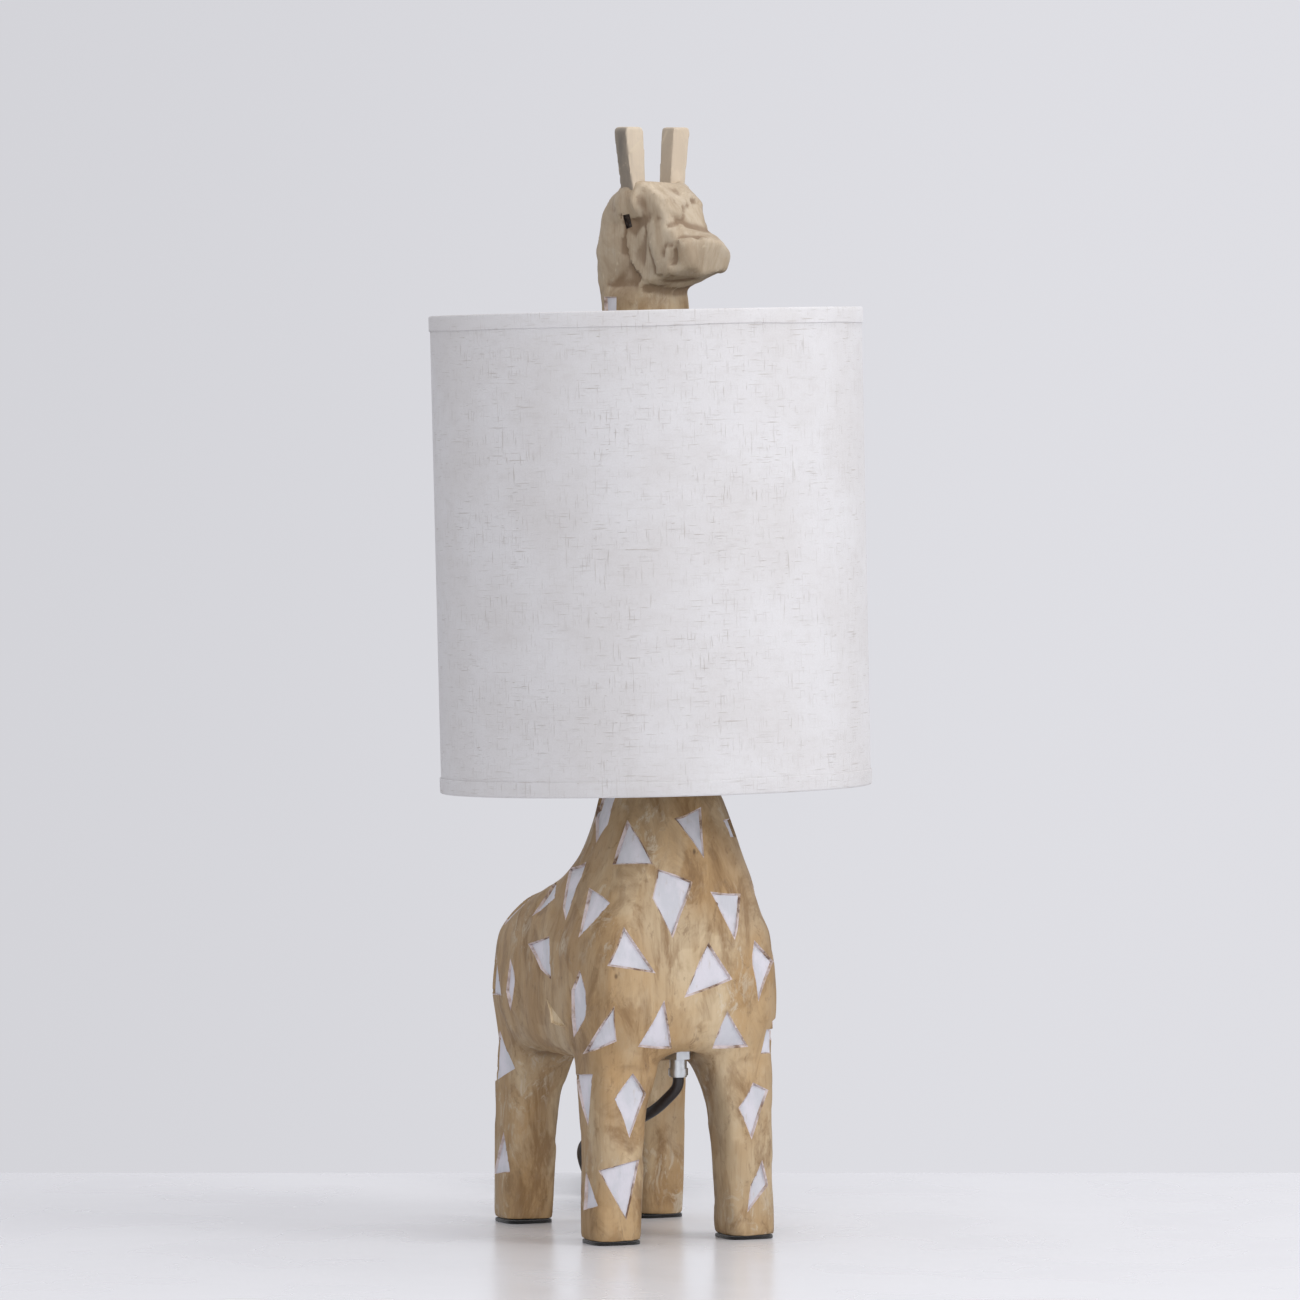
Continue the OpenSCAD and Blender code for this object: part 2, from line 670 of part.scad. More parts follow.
hank_entry = hank_mid - across * fold_r - lay * (hank_run / 2);
switch_end = switch_mid + lay * switch_l / 2;
link_route = [
    [switch_end.x, switch_end.y, entry_z],
    [switch_end.x + lay.x * 3, switch_end.y + lay.y * 3, entry_z],
    [switch_end.x + lay.x * 8, switch_end.y + lay.y * 8, entry_z - 0.5],
    [hank_entry.x - lay.x * 17 + across.x * 6, hank_entry.y - lay.y * 17 + across.y * 6, entry_z - 1.5],
    [hank_entry.x - lay.x * 8 + across.x * 2, hank_entry.y - lay.y * 8 + across.y * 2, entry_z - 2]
];
module cord_to_hank() {
    color("black") tube_along(link_route, lead_r, 10);
}

module hank_outline() {
    hull() for (end = [-1, 1]) translate([end * hank_run / 2, 0]) circle(r = fold_r + lead_r);
}
module cord_hank() {
    color("black") lay_frame(hank_mid, 0) difference() {
        linear_extrude(hank_h) hank_outline();
        translate([-tie_w / 2, -through, -1]) cube([tie_w, 2 * through, tie_t + 1]);
    }
}
module hank_tie() {
    half = fold_r + lead_r;
    color("dimgray") lay_frame(hank_mid, 0) difference() {
        translate([-tie_w / 2, -half - tie_t, 0]) cube([tie_w, 2 * (half + tie_t), hank_h + tie_t]);
        translate([-tie_w / 2 - 1, -half, tie_t]) cube([tie_w + 2, 2 * half, hank_h - tie_t]);
    }
}

// Switch: a two-part housing with rounded ends, and a rocker on a cross pin.
rocker_l = 20;
rocker_w = 12;
rocker_tilt = 8;
rocker_axis_z = switch_h - 5;
end_w = 11;           // width of the switch's flat ends
pin_hole_d = 2.2;     // cross hole for the rocker's pin
pin_reach = 10.5;     // reach of that pin to each side
split_z = switch_h * 0.5;
dish_r = 39.4;        // radius of the rocker's hollow top
dish_z = 44;          // height of that radius' middle above the pin
module switch_outline(inset) {
    r = switch_w / 2 - inset;
    hull() {
        for (end = [-1, 1]) translate([end * (switch_l - switch_w) / 2, 0]) circle(r = r);
        square([switch_l - 2 * inset, end_w], center = true);
    }
}
module switch_well(extra) {
    translate([-rocker_l / 2 - extra, -rocker_w / 2 - extra, 2]) cube([rocker_l + 2 * extra, rocker_w + 2 * extra, switch_h]);
}
module switch_base() {
    color("black") lay_frame(switch_mid, 0) difference() {
        linear_extrude(split_z) switch_outline(0);
        switch_well(1.5);
    }
}
module switch_lid() {
    color("black") lay_frame(switch_mid, 0) difference() {
        translate([0, 0, split_z]) linear_extrude(switch_h - split_z) switch_outline(0.4);
        switch_well(1.5);
        cross_pin(pin_hole_d, pin_reach + 0.2);
    }
}
module cross_pin(d, reach) {
    translate([0, 0, rocker_axis_z]) rotate([90, 0, 0]) cylinder(d = d, h = 2 * reach, center = true);
}
module rocker_pin() {
    color("silver") lay_frame(switch_mid, 0) cross_pin(pin_hole_d - 0.2, pin_reach);
}
module switch_rocker() {
    color("gray") lay_frame(switch_mid, 0) {
        translate([0, 0, rocker_axis_z]) rotate([0, rocker_tilt, 0]) difference() {
            translate([-rocker_l / 2, -rocker_w / 2, -3]) cube([rocker_l, rocker_w, 9]);
            translate([0, -rocker_w / 2 - 1, dish_z]) rotate([-90, 0, 0]) cylinder(r = dish_r, h = rocker_w + 2, $fn = 180);
            rotate([90, 0, 0]) cylinder(d = pin_hole_d, h = rocker_w + 2, center = true);
        }
    }
}

// Plug: flat body with two round pins, lying on the hank.
module plug_frame() {
    lay_frame(hank_mid + lay * plug_s, plug_z) rotate([0, 0, 180]) children();
}
module plug_outline() {
    hull() {
        translate([plug_l / 2 - 1, 0]) square([2, plug_w], center = true);
        translate([plug_l * 0.1, 0]) square([2, plug_w], center = true);
        translate([-plug_l / 2 + 1, 0]) square([2, 11], center = true);
    }
}
module plug_body() {
    color("black") plug_frame() translate([0, 0, -plug_h / 2]) linear_extrude(plug_h) plug_outline();
}
module plug_pin(side) {
    color("silver") plug_frame() translate([plug_l / 2, side * pin_gap / 2, 0]) rotate([0, 90, 0])
        cylinder(d = pin_d, h = pin_l);
}
module plug_pin_1() plug_pin(-1);
module plug_pin_2() plug_pin(1);

// From the hank's last fold, in an S over the hank: [beyond the plug's back, to the side, below the plug's axis]
plug_back = hank_mid + lay * (plug_s + plug_l / 2);
module cord_to_plug() {
    route = [
        for (s = [[38, 19.5, 11.6], [31, 18.4, 10.4], [25, 15.5, 8], [19, 9.8, 5.8], [13, 4, 3], [7, 1.1, 0.7], [2, 0, 0], [0, 0, 0]])
            [plug_back.x + lay.x * s[0] + across.x * s[1], plug_back.y + lay.y * s[0] + across.y * s[1], plug_z - s[2]]
    ];
    color("black") tube_along(route, lead_r, 10);
}

carved_body();
horn_right();
horn_left();
pad_front_right();
pad_front_left();
pad_rear_right();
pad_rear_left();
lamp_tube();
tube_collar();
belly_washer();
belly_nut();
seat_washer();
seat_nut();
tube_coupler();
offset_arm();
holder_cap();
holder_core();
holder_shell();
centre_contact();
side_contact();
terminal_screw_1();
terminal_screw_2();
shade_ring();
bulb_contact();
bulb_insulator();
bulb_cap();
bulb_collar();
bulb_globe();
fitter_ring();
fitter_arm_1();
fitter_arm_2();
fitter_arm_3();
fitter_arm_4();
shade_top_wire();
shade_bottom_wire();
shade_linen();
shade_liner();
hem_top();
hem_bottom();
inner_lead();
cord_tail();
cord_to_hank();
cord_hank();
hank_tie();
cord_to_plug();
switch_base();
switch_lid();
rocker_pin();
switch_rocker();
plug_body();
plug_pin_1();
plug_pin_2();
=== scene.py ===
"""Giraffe table lamp: a carved wooden giraffe that carries a linen drum shade round its neck.

Run as a script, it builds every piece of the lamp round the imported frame, in metres,
+Z up, with the giraffe facing -Y. Each operator makes one group of pieces.
"""
import math
import random

import bmesh
import bpy
import numpy as np
from mathutils import Matrix, Vector
from mathutils.kdtree import KDTree


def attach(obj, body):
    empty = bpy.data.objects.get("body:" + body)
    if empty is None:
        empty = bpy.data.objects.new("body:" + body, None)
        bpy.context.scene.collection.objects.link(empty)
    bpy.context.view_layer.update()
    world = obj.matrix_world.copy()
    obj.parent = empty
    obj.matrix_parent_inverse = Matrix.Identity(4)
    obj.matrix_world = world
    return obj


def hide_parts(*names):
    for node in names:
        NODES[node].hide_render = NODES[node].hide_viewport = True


bl_info = {
    "name": "Giraffe table lamp",
    "version": (1, 0, 0),
    "blender": (4, 5, 0),
    "location": "View3D > Sidebar > Lamp",
    "description": "Builds a carved giraffe lamp with a linen drum shade",
    "category": "Object",
}

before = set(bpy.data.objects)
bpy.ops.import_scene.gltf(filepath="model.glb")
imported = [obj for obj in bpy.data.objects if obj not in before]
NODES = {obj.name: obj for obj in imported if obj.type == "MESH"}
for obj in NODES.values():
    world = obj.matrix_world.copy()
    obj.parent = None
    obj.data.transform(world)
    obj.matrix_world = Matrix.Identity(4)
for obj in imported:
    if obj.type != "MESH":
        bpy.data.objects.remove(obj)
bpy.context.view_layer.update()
MM = 0.001

# ---------------------------------------------------------------- places shared with the CAD source

LEAD_D = 6.5
TAIL_ROUTE = [
    (0, -43.5, 94.5), (0, -43.5, 91), (-1, -42, 87), (-4, -38, 82),
    (-8, -32, 76), (-12, -24, 71), (-18, -14, 66), (-24, -3, 61),
    (-29, 9, 57), (-31, 21, 51), (-28, 32, 44), (-22, 41, 35),
    (-14, 49, 25), (-6, 58, 15), (2, 68, 7.5), (9, 79, 3.4),
    (15, 93, 3.3), (21, 105, 4), (25.8, 113, 5.6), (29, 119.4, 6.5), (31, 124, 6.5),
]
LAY_ANGLE = math.radians(66.7)
LAY = Vector((math.cos(LAY_ANGLE), math.sin(LAY_ANGLE), 0))
ACROSS = Vector((math.sin(LAY_ANGLE), -math.cos(LAY_ANGLE), 0))
SWITCH_L = 62.0
ENTRY_Z = 6.5
HANK_RUN = 98.0
HANK_TURNS = 5
FOLD_R = 19.5
TIE_T = 0.8
HANK_H = HANK_TURNS * LEAD_D + TIE_T
PLUG_S = -7.0
PLUG_L = 36.0
PLUG_W = 26.0
PLUG_H = 13.5
TAIL_END = Vector((TAIL_ROUTE[-1][0], TAIL_ROUTE[-1][1], 0))
SWITCH_MID = TAIL_END + LAY * (SWITCH_L / 2)
HANK_MID = SWITCH_MID + LAY * (SWITCH_L / 2 + 12 + HANK_RUN / 2 + FOLD_R + LEAD_D / 2) + ACROSS * 8
PLUG_Z = HANK_H + TIE_T + PLUG_H / 2

LEG_TOP_Z = 112.0
HEAD_FOOT_Z = 543.0
HEAD_TURN = math.radians(22)
NECK_TOP = Vector((-2.5, -1, 0))
HEAD_FRONT = Vector((math.sin(HEAD_TURN), -math.cos(HEAD_TURN), 0))
HEAD_SIDE = Vector((-math.cos(HEAD_TURN), -math.sin(HEAD_TURN), 0))

LEAN_AXIS = Vector((-0.0139583, 0.0235598, 0.9996250))
SHADE_MID = Vector((1.2, -1.0, 397.0))
SHADE_H = 276.0
SHADE_TOP_R = 125.0
SHADE_BOTTOM_R = 124.5

VIEW_TURN = math.radians(-23.3)
VIEW_DISTANCE = 5500.0
VIEW_HEIGHT = 578.0


# ---------------------------------------------------------------- settings

def size_setting(name, description, default, low, high):
    return bpy.props.FloatProperty(name=name, description=description, default=default, min=low, max=high)


def colour_setting(name, description, default):
    return bpy.props.FloatVectorProperty(
        name=name, description=description, subtype="COLOR", size=3, default=default)


class LampSizes(bpy.types.PropertyGroup):
    """Sizes of the carving and of the soft pieces, in millimetres unless it says otherwise"""
    trunk_facet: size_setting("Trunk facets", "Distance between knife facets on the trunk", 17.0, 8.0, 40.0)
    leg_facet: size_setting("Leg facets", "Distance between knife facets on the legs", 12.0, 6.0, 30.0)
    head_facet: size_setting("Head facets", "Distance between knife facets on the head", 10.5, 4.0, 20.0)
    spot_depth: size_setting("Spot depth", "Depth to which the painted spots are cut", 1.4, 0.3, 2.0)
    spot_edge: size_setting("Spot edge", "Width of the slanted cut round a spot", 1.15, 0.4, 2.0)
    thread_pitch: size_setting("Thread pitch", "Distance between the linen's threads", 0.55, 0.3, 1.2)
    hem_wave: size_setting("Hem waviness", "How far the glued hem tapes wander", 0.25, 0.0, 0.6)
    lead_length: size_setting("Lead length", "Length of the mains lead, in metres", 1.8, 1.0, 3.0)


class LampColours(bpy.types.PropertyGroup):
    """Colours of the finishes"""
    wood: colour_setting("Wood", "Bare wood under the wash", (0.46, 0.300, 0.145))
    wash: colour_setting("Brown wash", "Thin brown wash in the grain", (0.215, 0.120, 0.048))
    pale: colour_setting("Pale wood", "Worn, whitened wood", (0.565, 0.445, 0.29))
    paint: colour_setting("Spot paint", "White paint in the spots", (0.63, 0.615, 0.665))
    linen: colour_setting("Linen", "Ground colour of the shade", (0.675, 0.670, 0.682))
    slub: colour_setting("Slubs", "Darker thick threads of the linen", (0.34, 0.29, 0.245))


# ---------------------------------------------------------------- small helpers

def mm(x, y, z):
    return Vector((x, y, z)) * MM


def new_piece(name, bm, materials, body="lamp", stands_for=(), sharp=None):
    """A mesh object from a bmesh, with its materials, body and CAD nodes."""
    mesh = bpy.data.meshes.new(name)
    bm.to_mesh(mesh)
    bm.free()
    return piece_from_mesh(name, mesh, materials, body, stands_for, sharp)


def piece_from_mesh(name, mesh, materials, body="lamp", stands_for=(), sharp=None):
    mesh.name = name
    piece = bpy.data.objects.new(name, mesh)
    bpy.context.scene.collection.objects.link(piece)
    mesh.shade_smooth()
    if sharp is not None:
        mesh.set_sharp_from_angle(angle=math.radians(sharp))
    for material in materials:
        mesh.materials.append(material)
    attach(piece, body)
    if stands_for:
        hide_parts(*stands_for)
    return piece


def merged(node):
    """A bmesh copy of a CAD node's loose triangles, joined into one skin."""
    bm = bmesh.new()
    bm.from_mesh(NODES[node].data)
    bmesh.ops.remove_doubles(bm, verts=bm.verts, dist=1e-5)
    bmesh.ops.dissolve_limit(bm, angle_limit=math.radians(1.0), verts=bm.verts, edges=bm.edges)
    return bm


def soften(bm, width, angle=35.0, segments=2):
    """Rounds every edge that is sharper than the angle, in place."""
    limit = math.radians(angle)
    sharp = [e for e in bm.edges if e.is_manifold and e.calc_face_angle(0) > limit]
    bmesh.ops.bevel(bm, geom=sharp, offset=width * MM, offset_type="OFFSET", segments=segments,
                    profile=0.5, affect="EDGES", clamp_overlap=True, material=-1)
    return bm


def softened_piece(name, node, width, material, body="lamp", angle=35.0, segments=2):
    bm = soften(merged(node), width, angle, segments)
    return new_piece(name, bm, [material], body, [node], sharp=40)


def finish_node(node, material):
    """Gives a CAD node that keeps its shape a finish of its own."""
    mesh = NODES[node].data
    mesh.materials.clear()
    mesh.materials.append(material)


def smooth_route(points, steps):
    """Points of a smooth curve through a list of points."""
    out = []
    last = len(points) - 1
    for i in range(last):
        a = points[max(i - 1, 0)]
        b = points[i]
        c = points[i + 1]
        d = points[min(i + 2, last)]
        for k in range(steps):
            t = k / steps
            out.append(0.5 * (2 * b + (c - a) * t + (2 * a - 5 * b + 4 * c - d) * t * t
                              + (3 * b - a - 3 * c + d) * t ** 3))
    out.append(points[last])
    return out


def route_curve(name, points, radius, taper=None):
    """A round curve along points, in millimetres, with an optional radius factor at each point."""
    data = bpy.data.curves.new(name, "CURVE")
    data.dimensions = "3D"
    data.bevel_depth = radius * MM
    data.bevel_resolution = 5
    data.use_fill_caps = True
    spline = data.splines.new("POLY")
    spline.points.add(len(points) - 1)
    for i, p in enumerate(points):
        spline.points[i].co = (p.x * MM, p.y * MM, p.z * MM, 1)
        if taper is not None:
            spline.points[i].radius = taper[i]
    return data


def curve_mesh(name, points, radius, taper):
    """A round mesh along points."""
    data = route_curve(name, points, radius, taper)
    holder = bpy.data.objects.new(name + "_line", data)
    bpy.context.scene.collection.objects.link(holder)
    bpy.context.view_layer.update()
    mesh = bpy.data.meshes.new_from_object(holder.evaluated_get(bpy.context.evaluated_depsgraph_get()))
    bpy.data.objects.remove(holder)
    bpy.data.curves.remove(data)
    return mesh


def ease(t):
    t = min(max(t, 0.0), 1.0)
    return t * t * (3 - 2 * t)


# ---------------------------------------------------------------- materials

class Nodes:
    """Adds shader nodes to a tree, each by what it does."""

    def __init__(self, tree):
        self.tree = tree
        self.coords = self.add("TexCoord")

    def add(self, kind, inputs=(), **settings):
        """A new node with its settings, and its inputs filled as (socket, value) pairs."""
        node = self.tree.nodes.new("ShaderNode" + kind)
        for name, setting in settings.items():
            setattr(node, name, setting)
        for socket, value in inputs:
            self.put(value, node.inputs[socket])
        return node

    def put(self, value, socket):
        """Links an output to a socket, or writes a plain value in it."""
        if hasattr(value, "is_output"):
            self.tree.links.new(value, socket)
        elif socket.type == "RGBA":
            socket.default_value = (*value[:3], 1.0)
        else:
            socket.default_value = value

    def mapped(self, scale, source="Object", location=(0, 0, 0)):
        inputs = [("Vector", self.coords.outputs[source]), ("Scale", scale), ("Location", location)]
        return self.add("Mapping", inputs).outputs["Vector"]

    def noise(self, vector, scale=1.0, detail=3.0, roughness=0.5, distortion=0.0):
        inputs = [("Vector", vector), ("Scale", scale), ("Detail", detail), ("Roughness", roughness),
                  ("Distortion", distortion)]
        return self.add("TexNoise", inputs).outputs["Fac"]

    def cells(self, vector, scale):
        return self.add("TexVoronoi", [("Vector", vector), ("Scale", scale)]).outputs["Distance"]

    def bands(self, vector, scale, direction):
        inputs = [("Vector", vector), ("Scale", scale), ("Distortion", 0.0)]
        return self.add("TexWave", inputs, wave_type="BANDS", bands_direction=direction).outputs["Fac"]

    def ramp(self, value, low, high, start=0.0, end=1.0):
        """start below low, end above high, and a smooth change between."""
        inputs = [("Value", value), ("From Min", low), ("From Max", high), ("To Min", start),
                  ("To Max", end)]
        return self.add("MapRange", inputs, interpolation_type="SMOOTHSTEP").outputs["Result"]

    def sum(self, operation, a, b, c=0.0):
        return self.add("Math", [(0, a), (1, b), (2, c)], operation=operation).outputs["Value"]

    def blend(self, factor, a, b):
        return self.add("Mix", [(0, factor), (6, a), (7, b)], data_type="RGBA").outputs[2]

    def stored(self, name):
        return self.add("Attribute", attribute_name=name).outputs["Fac"]

    def axes(self, vector):
        return self.add("SeparateXYZ", [("Vector", vector)]).outputs

    def relief(self, height, depth, strength=1.0, under=None):
        bump = self.add("Bump", [("Strength", strength), ("Distance", depth), ("Height", height)])
        if under is not None:
            self.put(under, bump.inputs["Normal"])
        return bump.outputs["Normal"]


class Finish(Nodes):
    """One procedural material, round a single surface shader."""

    def __init__(self, name):
        self.material = bpy.data.materials.new(name)
        self.material.use_nodes = True
        self.material.node_tree.nodes.clear()
        super().__init__(self.material.node_tree)
        self.shader = self.add("BsdfPrincipled")
        self.add("OutputMaterial", [("Surface", self.shader.outputs["BSDF"])])

    def done(self, colour, roughness, normal=None, **plain):
        self.put(colour, self.shader.inputs["Base Color"])
        self.put(roughness, self.shader.inputs["Roughness"])
        if normal is not None:
            self.put(normal, self.shader.inputs["Normal"])
        for name, value in plain.items():
            self.put(value, self.shader.inputs[name.replace("_", " ")])
        return self.material


def wood_finish(name, colours, head_from=None, pale_share=0.0):
    """Hand-carved softwood: upright grain, a blotchy wash, worn ridges, and painted shade: darker hollows
    (with wash gathered there), flanks and horn sides.
    """
    f = Finish(name)
    wood = tuple(colours.wood)
    wash = tuple(colours.wash)
    pale = tuple(colours.pale)
    clouds = f.noise(f.mapped((1, 1, 0.55)), 21.0, 4.0, 0.55, 0.3)
    streaks = f.noise(f.mapped((1, 1, 0.10)), 95.0, 5.0, 0.6, 0.4)
    fibre = f.noise(f.mapped((1, 1, 0.045)), 620.0, 3.0, 0.6)
    smear = f.noise(f.mapped((1, 1, 0.4), location=(3, 1, 2)), 46.0, 5.0, 0.7, 0.8)
    colour = f.blend(f.ramp(clouds, 0.40, 0.68), wood, pale)
    colour = f.blend(f.ramp(smear, 0.46, 0.66, 0.0, 0.80), colour, wash)
    scrape = f.noise(f.mapped((1, 1, 0.45), location=(7, 4, 1)), 130.0, 5.0, 0.75, 1.2)
    gate = f.noise(f.mapped((1, 1, 0.7), location=(1, 8, 3)), 24.0, 2.0, 0.5)
    worn = f.sum("MULTIPLY", f.ramp(scrape, 0.50, 0.62), f.ramp(gate, 0.48, 0.60, 0.10, 0.85))
    colour = f.blend(worn, colour, (0.60, 0.52, 0.40))
    grime = f.noise(f.mapped((1, 1, 0.5), location=(2, 3, 9)), 155.0, 5.0, 0.75, 0.8)
    colour = f.blend(f.ramp(grime, 0.56, 0.70, 0.0, 0.55), colour, (0.15, 0.09, 0.045))
    colour = f.blend(f.ramp(streaks, 0.52, 0.74, 0.0, 0.45), colour, wash)
    colour = f.blend(f.ramp(streaks, 0.22, 0.42, 0.30, 0.0), colour, pale)
    colour = f.blend(f.ramp(fibre, 0.50, 0.78, 0.0, 0.30), colour, wash)
    tone = f.stored("facet_tone")
    colour = f.blend(f.ramp(tone, 0.0, 1.0, 0.26, 0.0), colour, wash)
    colour = f.blend(f.ramp(tone, 0.5, 1.0, 0.0, 0.22), colour, pale)
    if head_from is not None:
        height = f.ramp(f.axes(f.coords.outputs["Object"])["Z"], head_from, head_from + 0.03)
        grey = f.blend(f.ramp(smear, 0.35, 0.65), (0.50, 0.43, 0.335), (0.375, 0.30, 0.215))
        grey = f.blend(f.ramp(fibre, 0.50, 0.80, 0.0, 0.35), grey, (0.22, 0.15, 0.09))
        colour = f.blend(f.sum("MULTIPLY", height, 0.82), colour, grey)
    if pale_share:
        colour = f.blend(pale_share, colour, (0.62, 0.56, 0.47))
    # Painted shade: the wood is darkened where the skin faces sideways, on both flanks, less on the head.
    colour = f.blend(f.sum("MULTIPLY", f.stored("flank"), 0.36), colour, (0.17, 0.115, 0.062))
    # Painted shade on the horns' sides that turn to the giraffe's right, darkened almost to black and broken
    # up by the streaks.
    painted_side_shade = f.sum("MULTIPLY", f.stored("painted_side_shade"), f.ramp(streaks, 0.25, 0.65, 1.0, 0.72))
    colour = f.blend(painted_side_shade, colour, (0.075, 0.068, 0.062))
    # Painted shade in the hollows, mixed with the brown wash that gathers there: darker brown by the stored
    # depth under the smoothed skin.
    hollow = f.stored("hollow")
    colour = f.blend(f.ramp(hollow, 0.08, 0.95, 0.0, 0.70), colour, (0.155, 0.090, 0.045))
    colour = f.blend(f.ramp(f.stored("ridge"), 0.25, 0.9, 0.0, 0.38), colour, (0.64, 0.545, 0.40))
    knots = f.cells(f.mapped((1, 1, 0.6)), 34.0)
    colour = f.blend(f.ramp(knots, 0.012, 0.05, 0.75, 0.0), colour, (0.085, 0.045, 0.022))
    grain = f.relief(fibre, 0.00022, 0.55)
    marks = f.relief(f.noise(f.mapped((1, 1, 0.5)), 240.0, 3.0, 0.55), 0.0005, 0.5, grain)
    rough = f.ramp(streaks, 0.3, 0.7, 0.52, 0.68)
    return f.done(colour, rough, marks, Specular_IOR_Level=0.35)


def paint_finish(name, colours):
    """White spot paint, brushed thinly over the cut wood."""
    f = Finish(name)
    brush = f.noise(f.mapped((1, 1, 0.25)), 420.0, 4.0, 0.6)
    patch = f.noise(f.mapped((1, 1, 0.6)), 75.0, 4.0, 0.6)
    colour = f.blend(f.ramp(patch, 0.38, 0.62), tuple(colours.paint), (0.54, 0.545, 0.585))
    colour = f.blend(f.ramp(brush, 0.58, 0.76, 0.0, 0.55), colour, (0.47, 0.42, 0.38))
    bump = f.relief(brush, 0.0003, 0.6)
    return f.done(colour, f.ramp(patch, 0.3, 0.7, 0.50, 0.62), bump, Specular_IOR_Level=0.4)


def cut_finish(name):
    """The slanted cut round a spot: brown in its depth, smeared with paint."""
    f = Finish(name)
    smear = f.noise(f.mapped((1, 1, 0.7)), 260.0, 4.0, 0.65)
    wide = f.noise(f.mapped((1, 1, 1), location=(2, 5, 1)), 70.0, 3.0, 0.6)
    colour = f.blend(f.ramp(smear, 0.42, 0.60), (0.19, 0.115, 0.075), (0.44, 0.33, 0.25))
    colour = f.blend(f.ramp(wide, 0.38, 0.56, 0.0, 0.9), colour, (0.62, 0.54, 0.54))
    return f.done(colour, 0.62, f.relief(smear, 0.0004, 0.6), Specular_IOR_Level=0.3)


def bare_cut_finish(name):
    """A fresh cut with no paint."""
    f = Finish(name)
    fibre = f.noise(f.mapped((1, 1, 0.08)), 500.0, 3.0, 0.6)
    colour = f.blend(f.ramp(fibre, 0.35, 0.7), (0.62, 0.50, 0.33), (0.45, 0.32, 0.18))
    return f.done(colour, 0.6, f.relief(fibre, 0.0003, 0.5), Specular_IOR_Level=0.3)


def eye_finish(name):
    f = Finish(name)
    grime = f.noise(f.mapped((1, 1, 1)), 900.0, 3.0, 0.6)
    colour = f.blend(f.ramp(grime, 0.4, 0.7), (0.018, 0.012, 0.010), (0.07, 0.045, 0.03))
    return f.done(colour, 0.45, f.relief(grime, 0.0002, 0.4))


def metal_finish(name, colour, rough, brushed=(1, 1, 0.1)):
    """Plated or turned metal with fine drawn lines and a dull bloom."""
    f = Finish(name)
    lines = f.noise(f.mapped(brushed), 1500.0, 3.0, 0.6)
    patches = f.noise(f.mapped((1, 1, 1)), 130.0, 4.0, 0.6)
    shade = f.blend(f.ramp(patches, 0.50, 0.72, 0.0, 0.35), colour, (0.35, 0.33, 0.30))
    roughness = f.sum("ADD", f.ramp(lines, 0.3, 0.7, rough - 0.06, rough + 0.06),
                      f.ramp(patches, 0.5, 0.75, 0.0, 0.12))
    return f.done(shade, roughness, f.relief(lines, 0.00008, 0.35), Metallic=1.0)


def moulded_finish(name, colour, rough, grain=1400.0, depth=0.00006):
    """Moulded plastic: a fine spark-eroded skin, soft sheen and faint scuffs."""
    f = Finish(name)
    skin = f.noise(f.mapped((1, 1, 1)), grain, 2.0, 0.5)
    rubs = f.noise(f.mapped((1, 1, 0.3)), 160.0, 5.0, 0.7, 0.5)
    shade = f.blend(f.ramp(rubs, 0.56, 0.80, 0.0, 0.25), colour, (0.10, 0.10, 0.10))
    return f.done(shade, f.ramp(rubs, 0.35, 0.75, rough - 0.05, rough + 0.10), f.relief(skin, depth, 0.5))


def sheath_finish(name):
    """Flexible lead sheath: dark, slightly dusty, with drawn lines along it."""
    f = Finish(name)
    drawn = f.noise(f.mapped((1, 1, 1)), 1100.0, 2.0, 0.5)
    dust = f.noise(f.mapped((1, 1, 1)), 90.0, 4.0, 0.6)
    shade = f.blend(f.ramp(dust, 0.45, 0.75, 0.0, 0.6), (0.016, 0.012, 0.012), (0.040, 0.033, 0.032))
    return f.done(shade, f.ramp(dust, 0.3, 0.7, 0.34, 0.50), f.relief(drawn, 0.0001, 0.4))


def felt_finish(name):
    f = Finish(name)
    fluff = f.noise(f.mapped((1, 1, 1)), 1800.0, 4.0, 0.7)
    lint = f.noise(f.mapped((1, 1, 1)), 350.0, 3.0, 0.6)
    shade = f.blend(f.ramp(lint, 0.5, 0.8, 0.0, 0.6), (0.012, 0.011, 0.011), (0.045, 0.042, 0.042))
    return f.done(shade, 0.95, f.relief(fluff, 0.0005, 0.9), Sheen_Weight=0.4, Sheen_Roughness=0.5,
                  Specular_IOR_Level=0.15)


